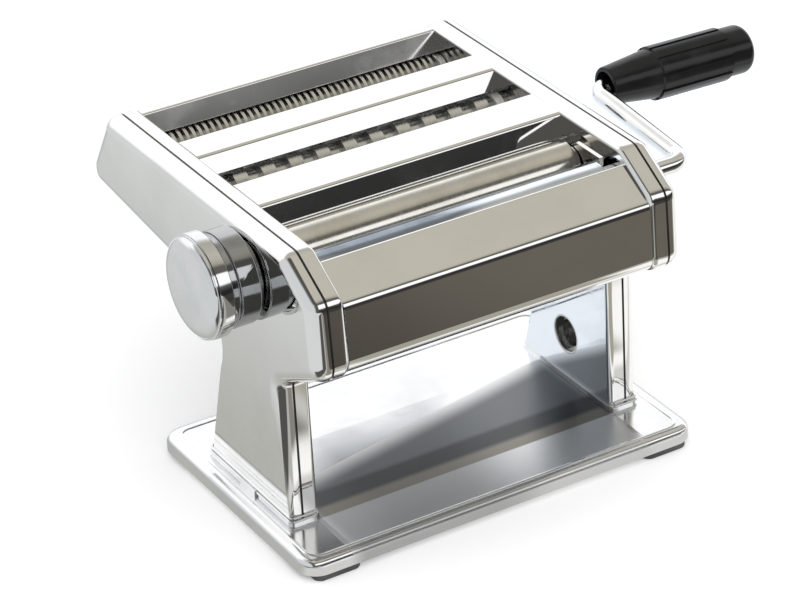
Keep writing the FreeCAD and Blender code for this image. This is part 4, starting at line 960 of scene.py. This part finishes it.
@dataclass
class BaseTray(SubAssembly):
    """The pressed tray with its contour bead, feet, screws and nuts."""

    top: float = 0.0094
    bead_inset: float = 0.0055
    bead_radius: float = 0.0011
    bead_flat: float = 0.6
    bead_rise: float = 0.0004
    bead_corner: float = 0.0065

    def contour(self) -> None:
        """Presses the low bead that follows the tray's edge."""
        low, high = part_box("base_tray")
        inset = Vector((self.bead_inset, self.bead_inset, 0.0))
        height = self.top + self.bead_rise - self.bead_radius * self.bead_flat
        near = Vector((low.x, low.y, height)) + inset
        far = Vector((high.x, high.y, height)) - inset
        ring = rolled_ring("tray_contour", near, far, self.bead_corner, self.bead_radius, self.bead_flat)
        self.fit(ring, "frame", BEAD_STEEL)

    def build(self) -> None:
        """Makes and dresses the pieces."""
        self.contour()
        # The tray's middle carries a painted dark reflection of the head's underside
        self.smoothed("base_tray", TRAY_STEEL)
        self.smoothed("rubber_feet", FOOT_RUBBER)
        self.dress_node("base_screws", FASTENER_STEEL)
        self.dress_node("base_nuts", FASTENER_STEEL)


@dataclass
class Cheek(SubAssembly):
    """One cheek: its inner plate, outer cover and seam strip, and the rings rolled round its foot.

    The rings stand off the leg outside and are sunk into its inner face.
    """

    side: Side = Side.LEFT
    inner_x: float = 0.0750
    outer_x: float = 0.0885
    front_y: float = -0.0335
    rear_y: float = 0.0363
    sunk: float = 0.0009
    ring_corner: float = 0.002
    ring_bead: float = 0.0006
    rings: tuple[Span, ...] = ((0.0111, 0.0007), (0.0127, 0.0003))

    def foot(self) -> None:
        """Rolls the rings round the leg's foot, each with its height and how far it stands off the leg."""
        for number, (height, room) in enumerate(self.rings, start=1):
            outer, inner = self.outer_x + room, self.inner_x + self.sunk
            ends = (-outer, -inner) if self.side is Side.LEFT else (inner, outer)
            low = Vector((ends[0], self.front_y - room, height))
            high = Vector((ends[1], self.rear_y + room, height))
            name = f"{self.side.value}_foot_ring_{number}"
            ring = rolled_ring(name, low, high, self.ring_corner, self.ring_bead)
            self.fit(ring, "frame", BEAD_STEEL)

    def build(self) -> None:
        """Makes and dresses the pieces."""
        self.foot()
        # The plate's inner face below the head is tinted by a painted bluish reflection
        self.smoothed(f"{self.side.value}_cheek_plate", INNER_STEEL)
        self.smoothed(f"{self.side.value}_cheek_cover", PANEL_STEEL)
        self.smoothed(f"{self.side.value}_seam_strip", SEAM_PLASTIC)
        if self.side is Side.RIGHT:
            self.smoothed("clamp_socket", FASTENER_STEEL)


@dataclass
class Covers(SubAssembly):
    """The front cover, the two top bars and the rear cover.

    The knee, the lip and the chin are corners of the front cover's outline, in Y and Z.
    """

    knee: Vector = Vector((-0.0615, 0.1252))
    lip: Vector = Vector((-0.0423, 0.1372))
    chin: Vector = Vector((-0.0655, 0.0950))
    knee_radius: float = 0.0020
    wide_radius: float = 0.0048
    sheet: float = 0.0008
    slack: float = 0.00004

    def soften_knee(self, cover: bpy.types.Object) -> None:
        """Widens the roll of the cover's knee, which the solid has tighter.

        Args:
            cover: the cover's smoothed copy.
        """
        up = (self.lip - self.knee).normalized()
        down = (self.chin - self.knee).normalized()
        bisector = (up + down).normalized()
        half = up.angle(down) / 2
        old = self.knee + bisector * (self.knee_radius / math.sin(half))
        new = self.knee + bisector * (self.wide_radius / math.sin(half))
        moved = 0
        for vertex in cover.data.vertices:
            arm = Vector((vertex.co.y, vertex.co.z)) - old
            for depth in (0.0, self.sheet):
                on_roll = abs(arm.length - self.knee_radius + depth) < self.slack
                if on_roll and arm.dot(bisector) < 0.0:
                    place = new + arm.normalized() * (self.wide_radius - depth)
                    vertex.co.y, vertex.co.z = place
                    moved += 1
                    break
        log.info("%s has %d points of its knee moved", cover.name, moved)

    def build(self) -> None:
        """Makes and dresses the pieces."""
        self.soften_knee(self.smoothed("front_cover", PANEL_STEEL))
        for node in ("front_top_bar", "rear_top_bar", "rear_cover"):
            self.smoothed(node, PANEL_STEEL)


@dataclass
class SmoothRollers(SubAssembly):
    """The two smooth rollers with their shafts, scrapers and side guides."""

    def build(self) -> None:
        """Makes and dresses the pieces."""
        # The front roller is darker than the rear one, as painted shade, with painted highlight streaks
        self.smoothed("drive_roller", SHADED_FRONT_ROLLER_STEEL, "drive_roller")
        self.smoothed("adjustable_roller", ROLLER_STEEL, "adjustable_roller")
        self.smoothed("roller_side_guides", PANEL_STEEL)
        self.smoothed("roller_sleeves", BUSH_PLASTIC, "roller_sleeves")
        self.smoothed("adjuster_shaft", FASTENER_STEEL, "thickness_adjuster")
        for node in ("drive_roller_gear", "drive_roller_collar", "adjustable_roller_gear"):
            self.dress_node(node, GEAR_STEEL)
        for node in ("front_roller_scraper", "rear_roller_scraper"):
            self.smoothed(node, SCRAPER_PLASTIC)
        for node in ("drive_roller_bushes", "adjuster_bush"):
            self.dress_node(node, BUSH_PLASTIC)


@dataclass
class CutterPair(SubAssembly):
    """One pair of cutters with its combs, bushes and gears."""

    size: StripSize = StripSize.WIDE

    def build(self) -> None:
        """Makes and dresses the pieces."""
        name = self.size.value
        for place in ("front", "rear"):
            self.smoothed(f"{name}_{place}_cutter", CUTTER_METAL, f"{name}_{place}_cutter")
            # The combs' dark tone is partly painted shade inside the head
            self.smoothed(f"{name}_{place}_comb", DULL_AND_SHADED_COMB_STEEL)
            self.dress_node(f"{name}_{place}_gear", GEAR_STEEL)
        self.dress_node(f"{name}_front_collar", GEAR_STEEL)
        self.dress_node(f"{name}_cutter_bushes", BUSH_PLASTIC)


@dataclass
class GearCase(SubAssembly):
    """The plate, spacers and rods that tie the cheeks together."""

    def build(self) -> None:
        """Makes and dresses the pieces."""
        for node in ("gear_support_plate", "gear_support_spacers", "tie_rod_nuts"):
            self.dress_node(node, FASTENER_STEEL)
        self.smoothed("tie_rods", FASTENER_STEEL)


@dataclass
class ThicknessKnob(SubAssembly):
    """The spool-shaped knob with its index plate, pin, spring and nut.

    The cap's outline is kept as rings, each with its distance along the axis and how far it lies inside
    the band's or the rim's radius. The back edge's rings are measured from the back, the others from the
    foot of the crown.
    """

    band_radius: float = 0.0229
    rim_radius: float = 0.0225
    disc_radius: float = 0.0162
    wall: float = 0.0015
    room_end: float = -0.0008
    back_edge: tuple[Span, ...] = ((0.0, 0.0005), (0.0002, 0.0003), (0.0005, 0.0))
    front_edge: tuple[Span, ...] = ((-0.0012, 0.0), (-0.0008, 0.0002))
    rolled_rim: tuple[Span, ...] = ((-0.0006, 0.0006), (-0.0003, 0.0006), (-0.0002, 0.0), (0.0002, 0.0),
                                    (0.0003, 0.0007))
    crown: float = 0.0032
    crown_start: float = 0.0004
    crown_angle: float = 12.0
    crown_steps: int = 10
    cap_angle: float = 28.0
    cap_sides: int = 128

    def cap_rings(self, depth: float) -> list[Span]:
        """Gives the hollow cap's profile: room, band, rolled rim and rounded crown with a flat disc.

        Args:
            depth: the cap's whole depth.

        Returns:
            Each ring's distance from the back and its radius.
        """
        foot = depth - self.crown
        room = self.band_radius - self.wall
        rings = [(depth - self.wall, self.disc_radius), (foot + self.room_end, room), (0.0, room)]
        for start, radius, outline in ((0.0, self.band_radius, self.back_edge),
                                       (foot, self.band_radius, self.front_edge),
                                       (foot, self.rim_radius, self.rolled_rim)):
            rings += [(start + along, radius - inside) for along, inside in outline]
        crown_radius = rings[-1][1]
        low = math.radians(self.crown_angle)
        for step in range(self.crown_steps + 1):
            turn = math.radians(self.crown_angle + (90.0 - self.crown_angle) * step / self.crown_steps)
            risen = (math.sin(turn) - math.sin(low)) / (1 - math.sin(low))
            drawn = math.cos(turn) / math.cos(low)
            rings.append((foot + self.crown_start + (self.crown - self.crown_start) * risen,
                          self.disc_radius + (crown_radius - self.disc_radius) * drawn))
        return rings

    def cap(self) -> None:
        """Turns the cap."""
        low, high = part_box("knob_cap")
        back = Vector((high.x, (low.y + high.y) / 2, (low.z + high.z) / 2))
        forwards = Vector((-1.0, 0.0, 0.0))
        rings = self.cap_rings(high.x - low.x)
        piece = turned("knob_crown", back, forwards, rings, self.cap_angle, self.cap_sides)
        self.fit(piece, "thickness_knob", KNOB_CHROME, "knob_cap")

    def build(self) -> None:
        """Makes and dresses the pieces."""
        self.cap()
        # The body is darker than the cap: painted shade
        self.smoothed("knob_body", SHADED_KNOB_BODY_CHROME, "thickness_knob")
        self.dress_node("index_pin", FASTENER_STEEL)
        self.smoothed("index_plate", FASTENER_STEEL)
        self.dress_node("knob_nut", FASTENER_STEEL)
        self.dress_node("knob_spring", SPRING_STEEL)


@dataclass
class Crank(SubAssembly):
    """The bent rod and its turning grip."""

    def build(self) -> None:
        """Makes and dresses the pieces."""
        self.smoothed("crank", CRANK_CHROME, "crank")
        self.smoothed("crank_grip", GRIP_PLASTIC, "crank_grip")
        self.smoothed("grip_washer", FASTENER_STEEL, "crank")


# Studio

@dataclass(frozen=True)
class FloorPatch:
    """A patch of the mirrored floor, which comes and goes along X and Y between places in metres."""

    colour: Colour
    y_rise: Span | None = None
    y_fall: Span | None = None
    x_rise: Span | None = None
    x_fall: Span | None = None

    def laid(self, sheet: NodeSheet, x: Socket, y: Socket, under: Socket) -> Socket:
        """Lays the patch over the floor's colour.

        Args:
            sheet: the floor's nodes.
            x: the place along X.
            y: the place along Y.
            under: the colour without the patch.

        Returns:
            The colour with it.
        """
        rises = [sheet.rising(way, *span) for way, span in ((y, self.y_rise), (x, self.x_rise)) if span]
        falls = [sheet.falling(way, *span) for way, span in ((y, self.y_fall), (x, self.x_fall)) if span]
        return sheet.blend(sheet.product(*rises, *falls), under, self.colour)


WHITE: Colour = (1.0, 1.0, 1.0)
KHAKI: Colour = (0.40, 0.385, 0.33)
SHADE: Colour = (0.09, 0.088, 0.083)

# What polished metal mirrors of the floor before the object, each patch laid over those above it:
# the far dark, a khaki strip, the white floor, khaki again under the chin and the knob's painted shadow
FRONT_PATCHES: tuple[FloorPatch, ...] = (
    FloorPatch((0.050, 0.048, 0.045), y_fall=(-0.50, -0.36)),
    FloorPatch(KHAKI, y_rise=(-0.225, -0.200)),
    FloorPatch((1.05, 1.05, 1.03), y_rise=(-0.180, -0.150)),
    FloorPatch(KHAKI, y_rise=(-0.225, -0.200), y_fall=(-0.102, -0.092), x_rise=(-0.030, -0.010),
               x_fall=(0.118, 0.136)),
    FloorPatch((0.26, 0.25, 0.225), y_fall=(-0.125, -0.105), x_fall=(-0.035, -0.012)),
)

# The same left of the object, close before its tray and behind it: a painted shadow, a paler patch and a
# pale bluish one
ROUND_PATCHES: tuple[FloorPatch, ...] = (
    FloorPatch(SHADE, y_fall=(-0.07, -0.03), x_rise=(-0.24, -0.21), x_fall=(-0.13, -0.12)),
    FloorPatch((0.70, 0.69, 0.67), y_rise=(-0.088, -0.080), y_fall=(-0.062, -0.052),
               x_rise=(-0.125, -0.115)),
    FloorPatch((0.90, 0.97, 1.05), y_rise=(0.055, 0.075), x_rise=(-0.10, -0.09)),
)

# What it mirrors of the studio, by the angle round X from the horizon behind the object over its top
STUDIO_BANDS: tuple[tuple[float, Colour], ...] = (
    (-180.0, (0.030, 0.030, 0.030)),
    (-167.0, (0.034, 0.032, 0.029)),
    (-158.0, (0.110, 0.099, 0.082)),
    (-145.0, (0.120, 0.105, 0.088)),
    (-127.0, (0.110, 0.105, 0.100)),
    (-107.0, (0.068, 0.066, 0.064)),
    (-87.0, (0.095, 0.095, 0.095)),
    (-60.0, (0.35, 0.36, 0.38)),
    (-33.0, (0.66, 0.68, 0.72)),
    (0.0, (0.86, 0.88, 0.90)),
    (13.0, (1.2, 1.2, 1.2)),
    (46.0, (1.2, 1.2, 1.2)),
    (56.0, (0.62, 0.61, 0.58)),
    (64.0, (0.47, 0.455, 0.41)),
    (80.0, (0.50, 0.48, 0.42)),
    (95.0, (0.56, 0.535, 0.465)),
    (106.0, (0.52, 0.50, 0.43)),
    (116.0, (0.42, 0.40, 0.335)),
    (123.0, (0.13, 0.125, 0.115)),
    (135.0, (0.13, 0.125, 0.115)),
    (138.0, (1.2, 1.2, 1.2)),
    (158.0, (1.2, 1.2, 1.2)),
    (162.0, (0.13, 0.13, 0.125)),
    (167.0, (0.07, 0.07, 0.068)),
    (171.0, (0.035, 0.035, 0.035)),
    (174.0, (0.022, 0.022, 0.022)),
)


@dataclass
class Studio:
    """The pale floor, the soft light and the camera."""

    target: tuple[float, float, float] = (-0.000005, 0.0165, 0.074995)
    eye: tuple[float, float, float] = (-0.65954, -1.07888, 0.79734)
    roll_deg: float = -1.745
    lens: float = 151.916
    sensor: float = 36.0
    shift_x: float = -0.00425
    shift_y: float = -0.02033
    view_end: float = 100.0
    floor_half: float = 12.0
    floor_rough: float = 0.9
    floor_dark: Colour = (0.93, 0.93, 0.93)
    floor_pale: Colour = (0.94, 0.94, 0.94)
    floor_waves_per_metre: float = 3.0
    floor_lift: float = 0.17
    # The painted dark that the mirrored floor shows before the object, from left to right
    dark_left: Colour = (0.072, 0.064, 0.055)
    dark_right: Colour = (0.145, 0.130, 0.108)
    dark_span: Span = (0.0, 0.20)
    # Left of the object the mirrored floor is darker near it, a painted shadow, and paler further off
    left_near: Colour = (0.49, 0.49, 0.465)
    left_far: Colour = (0.71, 0.73, 0.73)
    left_span: Span = (-0.10, -0.24)
    left_fall: Span = (-0.10, -0.085)
    aside_x: Span = (-0.34, -0.24)
    aside_y: Span = (0.0, 0.3)
    left_pale: Colour = (0.68, 0.70, 0.72)
    left_turn: Span = (-0.75, -0.55)
    softbox_size: Span = (1.6, 0.9)
    softbox_power: float = 9.0
    softbox_place: tuple[float, float, float] = (-0.4, -1.6, 1.3)
    softbox_aim: tuple[float, float, float] = (0.0, 0.0, 0.08)

    def build(self) -> None:
        """Makes the studio."""
        bpy.context.scene.view_settings.view_transform = "Standard"
        self._camera()
        self._floor()
        self._world()
        self._softbox()

    def _camera(self) -> None:
        """Stands the camera where the photograph was taken."""
        data = bpy.data.cameras.new("Camera")
        data.lens = self.lens
        data.sensor_width = self.sensor
        data.shift_x = self.shift_x
        data.shift_y = self.shift_y
        data.clip_end = self.view_end
        camera = bpy.data.objects.new("Camera", data)
        bpy.context.scene.collection.objects.link(camera)
        back = (Vector(self.eye) - Vector(self.target)).normalized()
        right = (-back).cross(Vector((0, 0, 1))).normalized()
        up = back.cross(right)
        turn = math.radians(self.roll_deg)
        across = right * math.cos(turn) + up * math.sin(turn)
        upright = up * math.cos(turn) - right * math.sin(turn)
        pose = Matrix((across, upright, back)).transposed().to_4x4()
        pose.translation = Vector(self.eye)
        camera.matrix_world = pose
        bpy.context.scene.camera = camera

    def _floor(self) -> None:
        """Lays the plain pale floor, which glows for polished metal with painted reflections and shadows.
        """
        bpy.ops.object.select_all(action="DESELECT")
        bpy.ops.mesh.primitive_plane_add(size=2 * self.floor_half, location=(0, 0, 0))
        floor = bpy.context.object
        floor.name = "Floor"
        material = bpy.data.materials.new("Pale floor")
        material.use_nodes = True
        sheet = NodeSheet(material.node_tree)
        shader = material.node_tree.nodes["Principled BSDF"]
        shader.inputs["Roughness"].default_value = self.floor_rough
        shader.inputs["Specular IOR Level"].default_value = 0.0
        place = sheet.place()
        mottle = sheet.between(sheet.noise(place, self.floor_waves_per_metre), 0.0, 1.0)
        sheet.feed(shader.inputs["Base Color"], sheet.blend(mottle, self.floor_dark, self.floor_pale))
        path = sheet.add("LightPath").outputs
        lift = sheet.choose(path["Is Camera Ray"], sheet.light("Emission", WHITE, 0.0),
                            sheet.light("Emission", WHITE, self.floor_lift))
        lit = sheet.add("AddShader")
        sheet.feed(lit.inputs[0], shader.outputs[0])
        sheet.feed(lit.inputs[1], lift)
        mirrored = sheet.light("Emission", self._mirrored_floor(sheet, place))
        outlet = material.node_tree.nodes["Material Output"]
        sheet.feed(outlet.inputs["Surface"], sheet.choose(path["Is Glossy Ray"], lit.outputs[0], mirrored))
        floor.data.materials.append(material)

    def _mirrored_floor(self, sheet: NodeSheet, place: Socket) -> Socket:
        """Paints the light and shade that polished metal mirrors of the floor, with painted shadow near the
        object.

        Args:
            sheet: the floor's nodes.
            place: the place on the floor.

        Returns:
            The colour.
        """
        x, y, _ = sheet.split(place)
        colour = sheet.blend(sheet.rising(x, *self.dark_span), self.dark_left, self.dark_right)
        for patch in FRONT_PATCHES:
            colour = patch.laid(sheet, x, y, colour)
        left = sheet.blend(sheet.rising(x, *self.left_span), self.left_near, self.left_far)
        colour = sheet.blend(sheet.falling(x, *self.left_fall), colour, left)
        for patch in ROUND_PATCHES:
            colour = patch.laid(sheet, x, y, colour)
        return colour

    def _world(self) -> None:
        """Surrounds the object: white to the camera, a studio's bands of light to polished metal."""
        world = bpy.data.worlds.new("Studio")
        bpy.context.scene.world = world
        world.use_nodes = True
        sheet = NodeSheet(world.node_tree)
        world.node_tree.nodes.clear()
        x, y, z = sheet.split(sheet.add("TexCoord").outputs["Generated"])
        share = sheet.add("MapRange")
        bounds = {"Value": sheet.reckon("ARCTAN2", z, y), "From Min": -math.pi, "From Max": math.pi}
        for label, value in bounds.items():
            sheet.feed(share.inputs[label], value)
        ramp = sheet.add("ValToRGB")
        sheet.feed(ramp.inputs["Fac"], share.outputs["Result"])
        stops = ramp.color_ramp.elements
        while len(stops) > 1:
            stops.remove(stops[-1])
        for index, (degrees, tone) in enumerate(STUDIO_BANDS):
            position = (degrees + 180.0) / 360.0
            stop = stops[0] if index == 0 else stops.new(position)
            stop.position = position
            stop.color = (*tone, 1.0)
        aside = sheet.product(sheet.falling(x, *self.aside_x), sheet.falling(y, *self.aside_y))
        colour = sheet.blend(aside, ramp.outputs["Color"], SHADE)
        colour = sheet.blend(sheet.falling(x, *self.left_turn), colour, self.left_pale)
        seen = sheet.choose(sheet.add("LightPath").outputs["Is Glossy Ray"],
                            sheet.light("Background", WHITE), sheet.light("Background", colour))
        sheet.feed(sheet.add("OutputWorld").inputs["Surface"], seen)

    def _softbox(self) -> None:
        """Hangs a broad soft lamp in front of the object and above it."""
        data = bpy.data.lights.new("Softbox", "AREA")
        data.shape = "RECTANGLE"
        data.size, data.size_y = self.softbox_size
        data.energy = self.softbox_power
        lamp = bpy.data.objects.new("Softbox", data)
        bpy.context.scene.collection.objects.link(lamp)
        lamp.location = self.softbox_place
        aim = Vector(self.softbox_aim) - lamp.location
        lamp.rotation_euler = aim.to_track_quat("-Z", "Y").to_euler()
        lamp.visible_glossy = False


def main() -> None:
    """Builds the studio and every sub-assembly, in order."""
    logging.basicConfig(level=logging.INFO, format="%(message)s")
    Studio().build()
    parts: tuple[SubAssembly, ...] = (
        BaseTray(), Cheek(side=Side.LEFT), Cheek(side=Side.RIGHT), Covers(), SmoothRollers(),
        CutterPair(size=StripSize.WIDE), CutterPair(size=StripSize.FINE), GearCase(), ThicknessKnob(),
        Crank(),
    )
    for part in parts:
        part.build()


if __name__ == "__main__":
    main()
